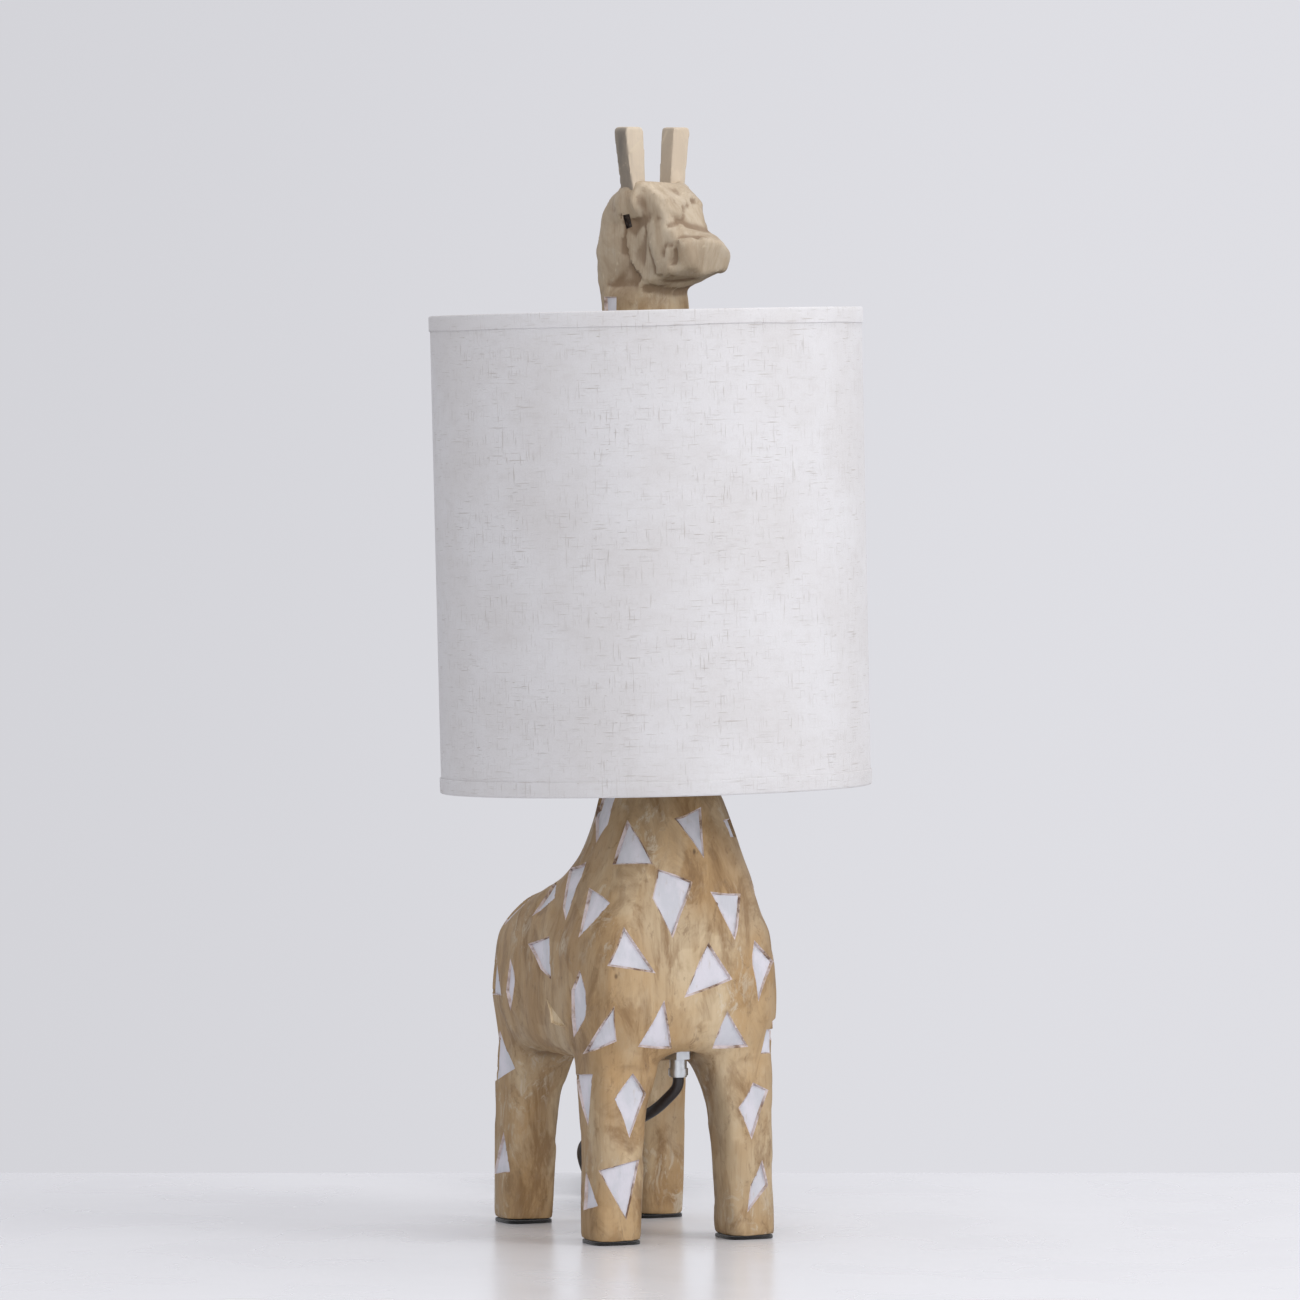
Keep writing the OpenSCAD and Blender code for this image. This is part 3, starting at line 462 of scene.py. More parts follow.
def linen_finish(name, colours, pitch):
    """Plain-woven linen on the piece's own UV map, in metres, with thick-and-thin slubs both ways."""
    f = Finish(name)
    threads = 1 / (pitch * MM)
    warp = f.bands(f.mapped((threads, 1, 1), "UV"), 0.3142, "X")
    weft = f.bands(f.mapped((1, threads, 1), "UV"), 0.3142, "Y")
    uneven = f.noise(f.mapped((1, 1, 1), "UV"), 900.0, 3.0, 0.6)
    cloth = f.sum("ADD", f.sum("MULTIPLY", warp, weft), uneven)
    gate = f.noise(f.mapped((1, 1, 1), "UV", location=(1, 7, 0)), 30.0, 3.0, 0.5)
    runs = [((75, 1500, 1), (0, 0, 0), 0.62, 0.74, 0.9), ((40, 700, 1), (5, 9, 0), 0.65, 0.76, 0.9),
            ((1400, 85, 1), (11, 2, 0), 0.61, 0.74, 0.85), ((800, 42, 1), (3, 6, 0), 0.64, 0.76, 0.75),
            ((190, 900, 1), (8, 1, 0), 0.68, 0.78, 1.0)]
    slubs = None
    for scale, place, low, high, share in runs:
        run = f.ramp(f.noise(f.mapped(scale, "UV", location=place), 1.0, 2.0, 0.5), low, high, 0.0, share)
        slubs = run if slubs is None else f.sum("MAXIMUM", slubs, run)
    slubs = f.sum("MULTIPLY", slubs, f.ramp(gate, 0.30, 0.66, 0.35, 1.0))
    cloudy = f.noise(f.mapped((1, 1, 1), "UV"), 17.0, 4.0, 0.55)
    mottle = f.noise(f.mapped((90, 160, 1), "UV", location=(2, 4, 0)), 1.0, 4.0, 0.6)
    colour = f.blend(f.ramp(cloudy, 0.35, 0.65, 0.0, 0.65), tuple(colours.linen), (0.615, 0.600, 0.600))
    colour = f.blend(f.ramp(mottle, 0.45, 0.75, 0.0, 0.14), colour, (0.45, 0.42, 0.40))
    colour = f.blend(f.sum("MULTIPLY", slubs, 0.60), colour, tuple(colours.slub))
    colour = f.blend(f.ramp(cloth, 0.35, 0.95, 0.16, 0.0), colour, tuple(colours.slub))
    bump = f.relief(cloth, 0.00012, 0.5)
    bump = f.relief(slubs, 0.00025, 0.6, bump)
    return f.done(colour, 0.82, bump, Sheen_Weight=0.12, Sheen_Roughness=0.5, Specular_IOR_Level=0.2)


def liner_finish(name):
    f = Finish(name)
    skin = f.noise(f.mapped((1, 1, 1)), 700.0, 2.0, 0.5)
    haze = f.noise(f.mapped((1, 1, 1)), 18.0, 3.0, 0.5)
    shade = f.blend(f.ramp(haze, 0.35, 0.65), (0.76, 0.75, 0.72), (0.70, 0.69, 0.66))
    return f.done(shade, f.ramp(haze, 0.3, 0.7, 0.42, 0.55), f.relief(skin, 0.00006, 0.4))


def enamel_finish(name, colour, rough, chip=(0.45, 0.44, 0.42)):
    """Coated wire or moulded white: smooth with a faint orange-peel skin."""
    f = Finish(name)
    peel = f.noise(f.mapped((1, 1, 1)), 600.0, 2.0, 0.5)
    wear = f.noise(f.mapped((1, 1, 1)), 150.0, 4.0, 0.7)
    shade = f.blend(f.ramp(wear, 0.62, 0.80, 0.0, 0.5), colour, chip)
    return f.done(shade, f.ramp(wear, 0.3, 0.7, rough, rough + 0.1), f.relief(peel, 0.00008, 0.35))


# ---------------------------------------------------------------- stage

# The table top, in metres: its middle behind the lamp, and half its width and depth.
TABLE_MID = -2.645
TABLE_HALF_W = 6
TABLE_HALF_D = 3
# Each light: name, metres behind the lamp, to its right and up, size, power and colour.
LIGHTS = [
    ("key", -1.1, 2.6, 1.7, 1.6, 35.0, (1.0, 0.995, 0.99)),
    ("front_fill", -2.6, -0.1, 1.3, 1.8, 21.0, (1.0, 0.99, 0.98)),
    ("top", 0.1, 0.3, 2.4, 1.6, 14.0, (1.0, 1.0, 1.0)),
]
WALL = (0.735, 0.735, 0.775)


class LAMP_OT_stage(bpy.types.Operator):
    """Camera, table top, soft lights and a pale surround"""
    bl_idname = "lamp.stage"
    bl_label = "Stage"

    def execute(self, context):
        scene = context.scene
        scene.view_settings.view_transform = "Standard"
        right = Vector((math.cos(VIEW_TURN), math.sin(VIEW_TURN), 0))
        away = Vector((-math.sin(VIEW_TURN), math.cos(VIEW_TURN), 0))
        data = bpy.data.cameras.new("camera")
        data.lens = 263.1
        data.sensor_width = 36.0
        data.clip_end = 60.0
        camera = bpy.data.objects.new("camera", data)
        scene.collection.objects.link(camera)
        camera.location = (away * -VIEW_DISTANCE + Vector((0, 0, VIEW_HEIGHT))) * MM
        aim = (right * 0.98 + Vector((0, 0, 339.0))) * MM
        camera.rotation_euler = (aim - camera.location).to_track_quat("-Z", "Y").to_euler()
        scene.camera = camera

        bm = bmesh.new()
        bmesh.ops.create_grid(bm, x_segments=1, y_segments=1, size=1.0)
        turn = Matrix.Rotation(VIEW_TURN, 4, "Z")
        spread = Matrix.Translation((0, TABLE_MID, 0)) @ Matrix.Diagonal((TABLE_HALF_W, TABLE_HALF_D, 1, 1))
        bmesh.ops.transform(bm, matrix=turn @ spread, verts=bm.verts)
        mesh = bpy.data.meshes.new("table_top")
        bm.to_mesh(mesh)
        bm.free()
        table = bpy.data.objects.new("table_top", mesh)
        scene.collection.objects.link(table)
        f = Finish("table_lacquer")
        haze = f.noise(f.mapped((1, 1, 1)), 9.0, 3.0, 0.5)
        white = f.blend(f.ramp(haze, 0.3, 0.7), (0.74, 0.74, 0.76), (0.71, 0.71, 0.73))
        mesh.materials.append(f.done(white, f.ramp(haze, 0.3, 0.7, 0.22, 0.30), Specular_IOR_Level=0.45))

        for name, back, side, height, size, power, colour in LIGHTS:
            self.area(name, away * back + right * side + Vector((0, 0, height)), size, power, colour)
        scene.world = self.surround()
        return {"FINISHED"}

    def surround(self):
        """A pale wall behind, lighter to the right, in a room that is dimmer at the left and behind."""
        world = bpy.data.worlds.new("surround")
        world.use_nodes = True
        n = Nodes(world.node_tree)
        turned = n.add("VectorRotate", [("Vector", n.coords.outputs["Generated"]), ("Angle", -VIEW_TURN)],
                       rotation_type="Z_AXIS")
        axes = n.axes(turned.outputs["Vector"])
        room = n.ramp(n.sum("MULTIPLY_ADD", axes["X"], 0.9, axes["Y"]), -0.9, 0.7, 0.94, 1.0)
        side = n.ramp(axes["X"], -0.09, 0.06, 0.89, 1.0)
        background = world.node_tree.nodes["Background"]
        n.put(WALL, background.inputs["Color"])
        n.put(n.sum("MULTIPLY", room, side), background.inputs["Strength"])
        return world

    def area(self, name, place, size, power, colour):
        data = bpy.data.lights.new(name, "AREA")
        data.shape = "DISK"
        data.size = size
        data.energy = power
        data.color = colour
        light = bpy.data.objects.new(name, data)
        bpy.context.scene.collection.objects.link(light)
        light.location = place
        light.rotation_euler = (Vector((0, 0, 0.3)) - light.location).to_track_quat("-Z", "Y").to_euler()


# ---------------------------------------------------------------- mains lead

def lay_point(origin, s, a, z):
    """A point that is s along and a across the put-away lead, at height z."""
    p = origin + LAY * s + ACROSS * a
    return Vector((p.x, p.y, z))


def double_bend(origin, start, end, steps=12):
    """Two equal arcs that carry the lead from start to end, both (s, a, z), sideways in an S."""
    length = abs(end[0] - start[0])
    side = abs(end[1] - start[1])
    way = math.copysign(1, end[0] - start[0])
    lean = math.copysign(1, end[1] - start[1])
    radius = (length * length + side * side) / (4 * side)
    angle = 2 * math.atan2(side, length)
    points = []
    for k in range(2 * steps + 1):
        t = k / steps
        if t <= 1:
            run = radius * math.sin(angle * t)
            shift = radius * (1 - math.cos(angle * t))
        else:
            run = length - radius * math.sin(angle * (2 - t))
            shift = side - radius * (1 - math.cos(angle * (2 - t)))
        z = start[2] + (end[2] - start[2]) * ease(t / 2)
        points.append(lay_point(origin, start[0] + way * run, start[1] + lean * shift, z))
    return points


def lead_route():
    """The whole lead: out of the tube, through the switch, round the hank and into the plug."""
    route = smooth_route([Vector(p) for p in TAIL_ROUTE], 4)
    half = HANK_RUN / 2
    gap = 12 + FOLD_R + LEAD_D / 2
    steps = 16
    switch_end = TAIL_END + LAY * SWITCH_L
    for k in range(1, 9):
        p = TAIL_END + LAY * SWITCH_L * k / 8
        route.append(Vector((p.x, p.y, ENTRY_Z)))
    route += double_bend(switch_end, (0, 0, ENTRY_Z), (gap, 8 - FOLD_R, LEAD_D / 2))[1:]
    for turn in range(HANK_TURNS):
        level = LEAD_D * (turn + 0.5)
        for k in range(1, steps + 1):
            route.append(lay_point(HANK_MID, -half + HANK_RUN * k / steps, -FOLD_R, level))
        for k in range(1, steps + 1):
            bend = math.pi * k / steps
            route.append(lay_point(HANK_MID, half + FOLD_R * math.sin(bend), -FOLD_R * math.cos(bend),
                                   level))
        if turn == HANK_TURNS - 1:
            break
        for k in range(1, steps + 1):
            route.append(lay_point(HANK_MID, half - HANK_RUN * k / steps, FOLD_R,
                                   level + LEAD_D * ease(k / steps)))
        for k in range(1, steps + 1):
            bend = math.pi * k / steps
            route.append(lay_point(HANK_MID, -half - FOLD_R * math.sin(bend), FOLD_R * math.cos(bend),
                                   level + LEAD_D))
    top = LEAD_D * (HANK_TURNS - 0.5)
    route += double_bend(HANK_MID, (half, FOLD_R, top), (PLUG_S + PLUG_L / 2, 0, PLUG_Z))[1:]
    return route


class LAMP_OT_mains_lead(bpy.types.Operator):
    """Mains lead with its switch, hank, tie and plug"""
    bl_idname = "lamp.mains_lead"
    bl_label = "Mains lead"

    def execute(self, context):
        route = lead_route()
        black = moulded_finish("black_moulding", (0.020, 0.019, 0.020), 0.38)
        satin = moulded_finish("plug_moulding", (0.024, 0.022, 0.022), 0.46, 900.0, 0.00009)
        sheath = sheath_finish("lead_sheath")
        steel = metal_finish("pin_plating", (0.72, 0.71, 0.68), 0.22)

        lead = bpy.data.objects.new("mains_lead", route_curve("mains_lead", route, LEAD_D / 2))
        context.scene.collection.objects.link(lead)
        lead.data.materials.append(sheath)
        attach(lead, "lamp")
        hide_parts("cord_tail", "cord_to_hank", "cord_hank", "cord_to_plug")

        base = softened_piece("switch_lower_half", "switch_base", 1.2, black, angle=60)
        lid = softened_piece("switch_upper_half", "switch_lid", 1.6, black, angle=60,
                             segments=3)
        plug = self.plug(satin)
        pins = [self.pin(n, steel) for n in ("plug_pin_1", "plug_pin_2")]
        tie = self.tie()
        sleeves = self.sleeves(route, satin)
        finish_node("switch_rocker", moulded_finish("rocker_moulding", (0.035, 0.034, 0.034), 0.24))
        finish_node("rocker_pin", steel)
        return {"FINISHED"}

    def place(self, origin, z):
        turn = Matrix.Rotation(LAY_ANGLE, 4, "Z")
        return Matrix.Translation(mm(origin.x, origin.y, z)) @ turn

    def plug(self, material):
        """A flat moulded plug, with finger hollows, that narrows towards the lead."""
        bm = bmesh.new()
        bmesh.ops.create_grid(bm, x_segments=18, y_segments=10, size=0.5)
        half = PLUG_L / 2
        for v in bm.verts:
            along = v.co.x * 2
            narrow = 1.0 - 0.50 * ease((along - 0.05) / 0.95)
            waist = 1.0 - 0.10 * math.exp(-((along - 0.05) / 0.28) ** 2)
            v.co.y *= PLUG_W * narrow * waist
            v.co.x = along * half
        rim = bmesh.ops.extrude_face_region(bm, geom=bm.faces[:])
        top = [g for g in rim["geom"] if isinstance(g, bmesh.types.BMVert)]
        bmesh.ops.translate(bm, vec=(0, 0, PLUG_H), verts=top)
        bmesh.ops.translate(bm, vec=(0, 0, -PLUG_H / 2), verts=bm.verts)
        bmesh.ops.recalc_face_normals(bm, faces=bm.faces)
        edges = [e for e in bm.edges if e.calc_face_angle(0) > math.radians(50)]
        bmesh.ops.bevel(bm, geom=edges, offset=2.4, offset_type="OFFSET", segments=4, profile=0.5,
                        affect="EDGES", clamp_overlap=True, material=-1)
        for v in bm.verts:
            if abs(v.co.z) > PLUG_H * 0.42 and abs(v.co.x) < half - 4 and abs(v.co.y) < PLUG_W * 0.34:
                dip = math.exp(-(v.co.x / 9) ** 2 - (v.co.y / 8) ** 2)
                v.co.z -= math.copysign(1.0 * dip, v.co.z)
        bmesh.ops.scale(bm, vec=(MM, MM, MM), verts=bm.verts)
        bmesh.ops.transform(bm, matrix=self.place(HANK_MID + LAY * PLUG_S, PLUG_Z), verts=bm.verts)
        return new_piece("plug_moulding", bm, [material], stands_for=["plug_body"], sharp=50)

    def pin(self, node, material):
        """A round pin with a rounded tip."""
        bm = soften(merged(node), 0.9, 60, 3)
        return new_piece("round_" + node, bm, [material], stands_for=[node], sharp=50)

    def tie(self):
        """A soft strap round the middle of the hank."""
        bm = soften(merged("hank_tie"), 0.35, 60, 2)
        strap = moulded_finish("strap_plastic", (0.028, 0.027, 0.027), 0.55, 1000.0, 0.0001)
        return new_piece("hank_strap", bm, [strap], stands_for=["hank_tie"], sharp=50)

    def sleeves(self, route, material):
        """Tapered, ribbed strain reliefs at both ends of the switch and behind the plug."""
        lengths = [0.0]
        for a, b in zip(route, route[1:]):
            lengths.append(lengths[-1] + (b - a).length)
        switch_at = next(i for i, p in enumerate(route) if (p - Vector(TAIL_ROUTE[-1])).length < 0.01)
        ends = [(switch_at, -1, "switch_relief_in"), (switch_at + 8, 1, "switch_relief_out"),
                (len(route) - 1, -1, "plug_relief")]
        made = []
        for index, way, name in ends:
            reach = 20.0
            points = []
            taper = []
            i = index
            while 0 <= i < len(route) and abs(lengths[i] - lengths[index]) <= reach:
                points.append(route[i])
                i += way
            dense = smooth_route(points, max(1, int(44 / len(points))))
            far = 0.0
            for k, p in enumerate(dense):
                if k:
                    far += (p - dense[k - 1]).length
                rib = 0.10 if int(far / 1.7) % 2 == 0 else 0.0
                taper.append(1.0 + 0.42 * (1 - far / reach) + rib * (1 - far / reach))
            mesh = curve_mesh(name, dense, LEAD_D / 2 + 0.15, taper)
            made.append(piece_from_mesh(name, mesh, [material], sharp=50))
        return made


# ---------------------------------------------------------------- the carving

# Spots, by the direction they are drawn from: the turn of the view round Z, in degrees, and
# outlines of (right, height) in millimetres on the upright plane through the lamp's middle.
PAINTED_SPOTS = {
    -23.3: [
        [(-29, 256), (-19, 256), (-24, 238), (-30, 228)], [(-12, 239), (2, 215), (-20, 215)],
        [(16, 241), (30, 247), (32, 219)], [(44, 240), (50, 241), (52, 231), (48, 231)],
        [(6, 211), (25, 204), (18, 185), (14, 173), (3, 195)],
        [(37, 198), (53, 197), (52, 183), (50, 172)], [(60, 205), (66, 203), (68, 188), (66, 188)],
        [(-34, 200), (-23, 192), (-40, 173)],
        [(-45, 212), (-37, 215), (-42, 202), (-48, 183), (-49, 190)],
        [(-53, 206), (-55, 195), (-67, 185)], [(-66, 199), (-74, 190), (-83, 180), (-80, 191)],
        [(-69, 168), (-58, 172), (-57, 149), (-62, 154)],
        [(-97, 173), (-90, 170), (-86, 139), (-97, 141)],
        [(-80, 159), (-78, 147), (-80, 130), (-82, 141)], [(-14, 177), (3, 152), (-23, 156)],
        [(35, 168), (48, 148), (22, 138)], [(62, 169), (72, 158), (64, 136), (61, 156)],
        [(-40, 152), (-37, 141), (-37, 126), (-43, 115), (-44, 141)],
        [(-20, 131), (-19, 112), (-37, 105)], [(9, 134), (13, 108), (-5, 109)],
        [(46, 128), (57, 109), (38, 108)], [(69, 118), (76, 119), (76, 105), (66, 105)],
        [(-86, 117), (-78, 96), (-89, 89)], [(-84, 58), (-81, 36), (-89, 35)],
        [(-42, 92), (-33, 92), (-35, 63)], [(-9, 92), (-2, 81), (-11, 57), (-19, 78)],
        [(-36, 35), (-30, 16), (-37, 14)], [(-28, 36), (-6, 42), (-13, 9)],
        [(61, 87), (69, 83), (60, 56), (53, 73)], [(66, 41), (69, 28), (58, 13), (60, 28)],
        [(-25, 543), (-19, 543), (-19, 526), (-25, 529)],
    ],
    90.0: [
        [(-50, 196), (-37, 200), (-42, 176)], [(-26, 214), (-12, 204), (-25, 188)],
        [(2, 206), (16, 196), (6, 180), (-3, 190)], [(34, 188), (50, 194), (44, 170)],
        [(66, 184), (84, 178), (74, 160)], [(-52, 158), (-36, 150), (-50, 138)],
        [(-22, 172), (-8, 150), (-27, 148)], [(10, 160), (29, 164), (20, 138)],
        [(47, 152), (60, 160), (68, 138), (51, 136)], [(82, 148), (95, 130), (78, 127)],
        [(-56, 121), (-41, 127), (-48, 106)], [(-20, 130), (-3, 134), (-11, 113)],
        [(22, 122), (40, 125), (33, 107)], [(60, 118), (74, 112), (64, 100)],
        [(-50, 92), (-38, 84), (-46, 66)], [(-48, 50), (-36, 57), (-40, 30)],
        [(80, 92), (94, 96), (88, 70)], [(82, 54), (96, 44), (85, 27)],
        [(-28, 254), (-14, 247), (-25, 230)], [(2, 262), (12, 241), (-2, 236)],
    ],
    180.0: [
        [(-44, 186), (-29, 194), (-36, 170)], [(-12, 196), (7, 190), (-3, 172)],
        [(29, 194), (45, 182), (31, 168)], [(-52, 150), (-37, 157), (-41, 131)],
        [(-20, 158), (1, 148), (-15, 135)], [(17, 160), (35, 150), (22, 133)],
        [(-32, 124), (-14, 128), (-24, 108)], [(2, 128), (18, 120), (6, 108)],
        [(40, 128), (53, 112), (36, 109)], [(34, 92), (48, 84), (39, 66)], [(36, 48), (50, 54), (44, 26)],
        [(-50, 88), (-36, 94), (-42, 68)], [(-48, 44), (-34, 50), (-41, 24)],
        [(-16, 244), (3, 250), (-4, 226)], [(16, 236), (27, 226), (18, 214)],
        [(-12, 300), (6, 292), (-7, 272)], [(-4, 540), (12, 532), (-2, 516)],
    ],
    -90.0: [
        [(-6, 262), (8, 254), (0, 238)], [(-14, 540), (0, 530), (-12, 514)],
    ],
}
BARE_CUTS = {-23.3: [[(-59, 136), (-49, 121), (-56, 123)]]}
EYE_SLOTS = {
    -23.3: [[(-14.0, 590.2), (-11.4, 590.8), (-10.0, 584.4), (-12.2, 583.4)]],
    67.3: [[(10.2, 590.2), (7.6, 590.8), (6.2, 584.4), (8.4, 583.4)]],
}


class Sight:
    """A point that outlines are drawn from, looking level at the lamp's axis."""

    def __init__(self, turn):
        angle = math.radians(turn)
        self.right = Vector((math.cos(angle), math.sin(angle), 0))
        self.away = Vector((-math.sin(angle), math.cos(angle), 0))
        self.eye = (self.away * -VIEW_DISTANCE + Vector((0, 0, VIEW_HEIGHT))) * MM

    def corner(self, point):
        return (self.right * point[0] + Vector((0, 0, point[1]))) * MM

    def flat(self, points):
        """Where points are seen on the upright plane, in millimetres."""
        rel = points - np.array(self.eye)
        scale = VIEW_DISTANCE * MM / (rel @ np.array(self.away))
        r = (rel @ np.array(self.right)) * scale
        h = VIEW_HEIGHT * MM + rel[:, 2] * scale
        return np.stack([r, h], 1) / MM


def inside_outline(points, outline):
    """Which points are inside an outline."""
    found = np.zeros(len(points), bool)
    count = len(outline)
    for i in range(count):
        x1, y1 = outline[i]
        x2, y2 = outline[(i + 1) % count]
        between = (y1 > points[:, 1]) != (y2 > points[:, 1])
        at = x1 + (points[:, 1] - y1) * (x2 - x1) / ((y2 - y1) if y2 != y1 else 1e-9)
        found ^= between & (points[:, 0] < at)
    return found


def shrunk(outline, by):
    """An outline moved inwards by a distance."""
    count = len(outline)
    area = sum(outline[i][0] * outline[(i + 1) % count][1] - outline[(i + 1) % count][0] * outline[i][1]
               for i in range(count))
    way = 1 if area > 0 else -1
    middle = np.mean(np.array(outline, float), axis=0)
    out = []
    for i in range(count):
        p = np.array(outline[i], float)
        before = p - np.array(outline[i - 1], float)
        after = np.array(outline[(i + 1) % count], float) - p
        n1 = np.array((-before[1], before[0])) / np.linalg.norm(before) * way
        n2 = np.array((-after[1], after[0])) / np.linalg.norm(after) * way
        mitre = n1 + n2
        size = max(float(mitre @ mitre), 0.5)
        move = mitre * 2 * by / size
        room = np.linalg.norm(middle - p) * 0.6
        length = np.linalg.norm(move)
        if length > room:
            move *= room / length
        out.append(tuple(p + move))
    return out


def hand_cut(outline, rng, by):
    """An outline with each side broken in the middle, as a knife leaves it."""
    out = []
    for i in range(len(outline)):
        p = np.array(outline[i], float)
        q = np.array(outline[(i + 1) % len(outline)], float)
        out.append(tuple(p))
        along = q - p
        length = float(np.hypot(*along))
        if length > 9:
            square = np.array((-along[1], along[0])) / length
            out.append(tuple(p + along * rng.uniform(0.35, 0.65) + square * rng.uniform(-by, by)))
    return out


def segment_distance(points, a, b):
    a = np.array(a, float)
    b = np.array(b, float)
    along = b - a
    t = np.clip(((points - a) @ along) / max(along @ along, 1e-9), 0, 1)
    return np.linalg.norm(points - (a + t[:, None] * along), axis=1)


# The head from its side, in millimetres: (forward, height) down the edge of the cheek plate, and
# the swells and hollows as (forward, height, length, tallness, rise).
CHEEK_LINE = [(2, 606), (2.5, 590), (3.5, 574), (7, 564), (12.5, 557.5), (19, 552.5), (29, 550.5), (40, 556)]
HEAD_SWELLS = [
    (10.5, 586.5, 5.0, 4.5, -1.6), (29.0, 569.0, 8.0, 11.0, 1.6),
    (40.5, 560.5, 2.6, 2.8, 1.8), (49.0, 566.5, 3.4, 5.0, 1.7),
]


class Carver:
    """The wood of the giraffe, as a dense skin that is sculpted, faceted and cut."""

    def __init__(self, mesh, rng):
        self.mesh = mesh
        self.rng = rng
        self.count = len(mesh.vertices)
        self.co = np.zeros(self.count * 3)
        mesh.vertices.foreach_get("co", self.co)
        self.co = self.co.reshape(-1, 3) / MM
        edges = np.zeros(len(mesh.edges) * 2, np.int64)
        mesh.edges.foreach_get("vertices", edges)
        self.edges = edges.reshape(-1, 2)
        self.degree = np.bincount(self.edges.ravel(), minlength=self.count).astype(float)

    def write(self):
        self.mesh.vertices.foreach_set("co", (self.co * MM).ravel())
        self.mesh.update()

    def normals(self):
        self.write()
        out = np.zeros(self.count * 3, np.float32)
        self.mesh.vertex_normals.foreach_get("vector", out)
        return out.reshape(-1, 3).astype(float)

    def averaged(self, values, rounds):
        """Values spread over their neighbours a number of times."""
        values = values.copy()
        for _ in range(rounds):
            total = np.zeros_like(values)
            np.add.at(total, self.edges[:, 0], values[self.edges[:, 1]])
            np.add.at(total, self.edges[:, 1], values[self.edges[:, 0]])
            share = total / (self.degree[:, None] if values.ndim == 2 else self.degree)
            values = 0.5 * values + 0.5 * share
        return values

    def smooth(self, rounds, where=None):
        moved = self.averaged(self.co, rounds)
        if where is None:
            self.co = moved
        else:
            self.co += (moved - self.co) * where[:, None]

    def head_axes(self):
        """Distances forward, to the giraffe's right, and height, for every vertex."""
        rel = self.co - np.array(NECK_TOP)
        return rel @ np.array(HEAD_FRONT), rel @ np.array(HEAD_SIDE), self.co[:, 2]

    def shape_head(self):
        """Cheek plates, brow and eye hollows, mouth corners and lips, before the knife marks."""
        forward, side, z = self.head_axes()
        seen = np.stack([forward, z], 1)
        line = np.full(self.count, 1e9)
        for a, b in zip(CHEEK_LINE, CHEEK_LINE[1:]):
            line = np.minimum(line, segment_distance(seen, a, b))
        plate = inside_outline(seen, CHEEK_LINE + [(60, 556), (60, 606)])
        channel = np.clip((19.5 - forward) / 1.5, 0, 1) * np.exp(-((z - 576) / 13.0) ** 4)
        rise = np.where(plate, 1.3 * np.exp(-(line / 5.0) ** 2) - 1.5 * channel, -1.3 * np.exp(-line / 7.0))
        rise *= z > 530
        for ahead, height, length, tall, lift in HEAD_SWELLS:
            rise += lift * np.exp(-((forward - ahead) / length) ** 2 - ((z - height) / tall) ** 2)
        rise += 1.1 * np.exp(-((forward - 15.0 + (z - 596) * 0.45) / 3.0) ** 2 - ((z - 597) / 6.0) ** 2)
        rise -= 3.4 * np.exp(-((forward - 43.0) / 2.6) ** 2 - ((z - 567.5) / 6.0) ** 4)
        flank = np.clip((np.abs(side) - 12) / 5, 0, 1)
        self.co += (np.sign(side) * rise * flank)[:, None] * np.array(HEAD_SIDE)

    def shape_trunk(self):
        """Runs the trunk into the legs, and lifts the belly between the front legs to a vault."""
        x, y, z = self.co.T
        self.smooth(26, where=np.exp(-((z - 113) / 13.0) ** 4))
        vault = np.exp(-(x / 19.0) ** 4) * np.exp(-((y + 58) / 20.0) ** 4) * np.clip((118 - z) / 8, 0, 1)
        self.co[:, 2] += 2.4 * vault

    def seeds(self, spacing):
        """Well-spread vertices; spacing is the wanted distance at each vertex."""
        order = self.rng.permutation(self.count)[:14000]
        scaled = self.co * np.array((1, 1, 0.55))
        chosen = []
        places = np.zeros((0, 3))
        for i in order:
            if len(places) and np.min(np.linalg.norm(places - scaled[i], axis=1)) < spacing[i]:
                continue
            chosen.append(i)
            places = np.vstack([places, scaled[i]])
        return chosen, places

    def facet(self, spacing, depth, tilt, cap):
        """Flattens the skin to tilted knife cuts round well-spread seeds. Returns ridge and tone."""
        normals = self.normals()
        wide = self.averaged(normals, 10)
        wide /= np.maximum(np.linalg.norm(wide, axis=1), 1e-9)[:, None]
        chosen, places = self.seeds(spacing)
        lean = self.rng.normal(size=(len(chosen), 3)) * tilt[chosen][:, None]
        planes_n = wide[chosen] + lean
        planes_n /= np.linalg.norm(planes_n, axis=1)[:, None]
        drop = depth[chosen] * self.rng.uniform(0.5, 1.3, len(chosen))
        planes_p = self.co[chosen] - planes_n * drop[:, None]
        tones = self.rng.uniform(0, 1, len(chosen))
        tree = KDTree(len(chosen))
        for k, p in enumerate(places):
            tree.insert(p, k)
        tree.balance()
        scaled = self.co * np.array((1, 1, 0.55))
        reach = 5
        ids = np.zeros((self.count, reach), np.int64)
        gaps = np.zeros((self.count, reach))
        for i in range(self.count):
            for k, (_, j, d) in enumerate(tree.find_n(scaled[i], reach)):
                ids[i, k] = j
                gaps[i, k] = d
        faces = np.einsum("ijk,ik->ij", planes_n[ids], wide)
        over = np.einsum("ijk,ijk->ij", self.co[:, None, :] - planes_p[ids], planes_n[ids])
        over = over / np.maximum(faces, 0.5)
        fade = np.clip((2.2 - gaps / spacing[:, None]) / 0.9, 0, 1)
        over = np.where(faces > 0.55, np.clip(over, 0, None) * fade, 0)
        rows = np.arange(self.count)
        order = np.argsort(-over, axis=1)
        best = over[rows, order[:, 0]]
        second = over[rows, order[:, 1]]
        cut = self.averaged(np.minimum(best, cap), 1)
        ridge = np.exp(-np.abs(best - second) / 0.10) * (best > 0.02)
        tone = tones[ids[rows, order[:, 0]]]
        self.co -= wide * cut[:, None]
        return ridge, tone

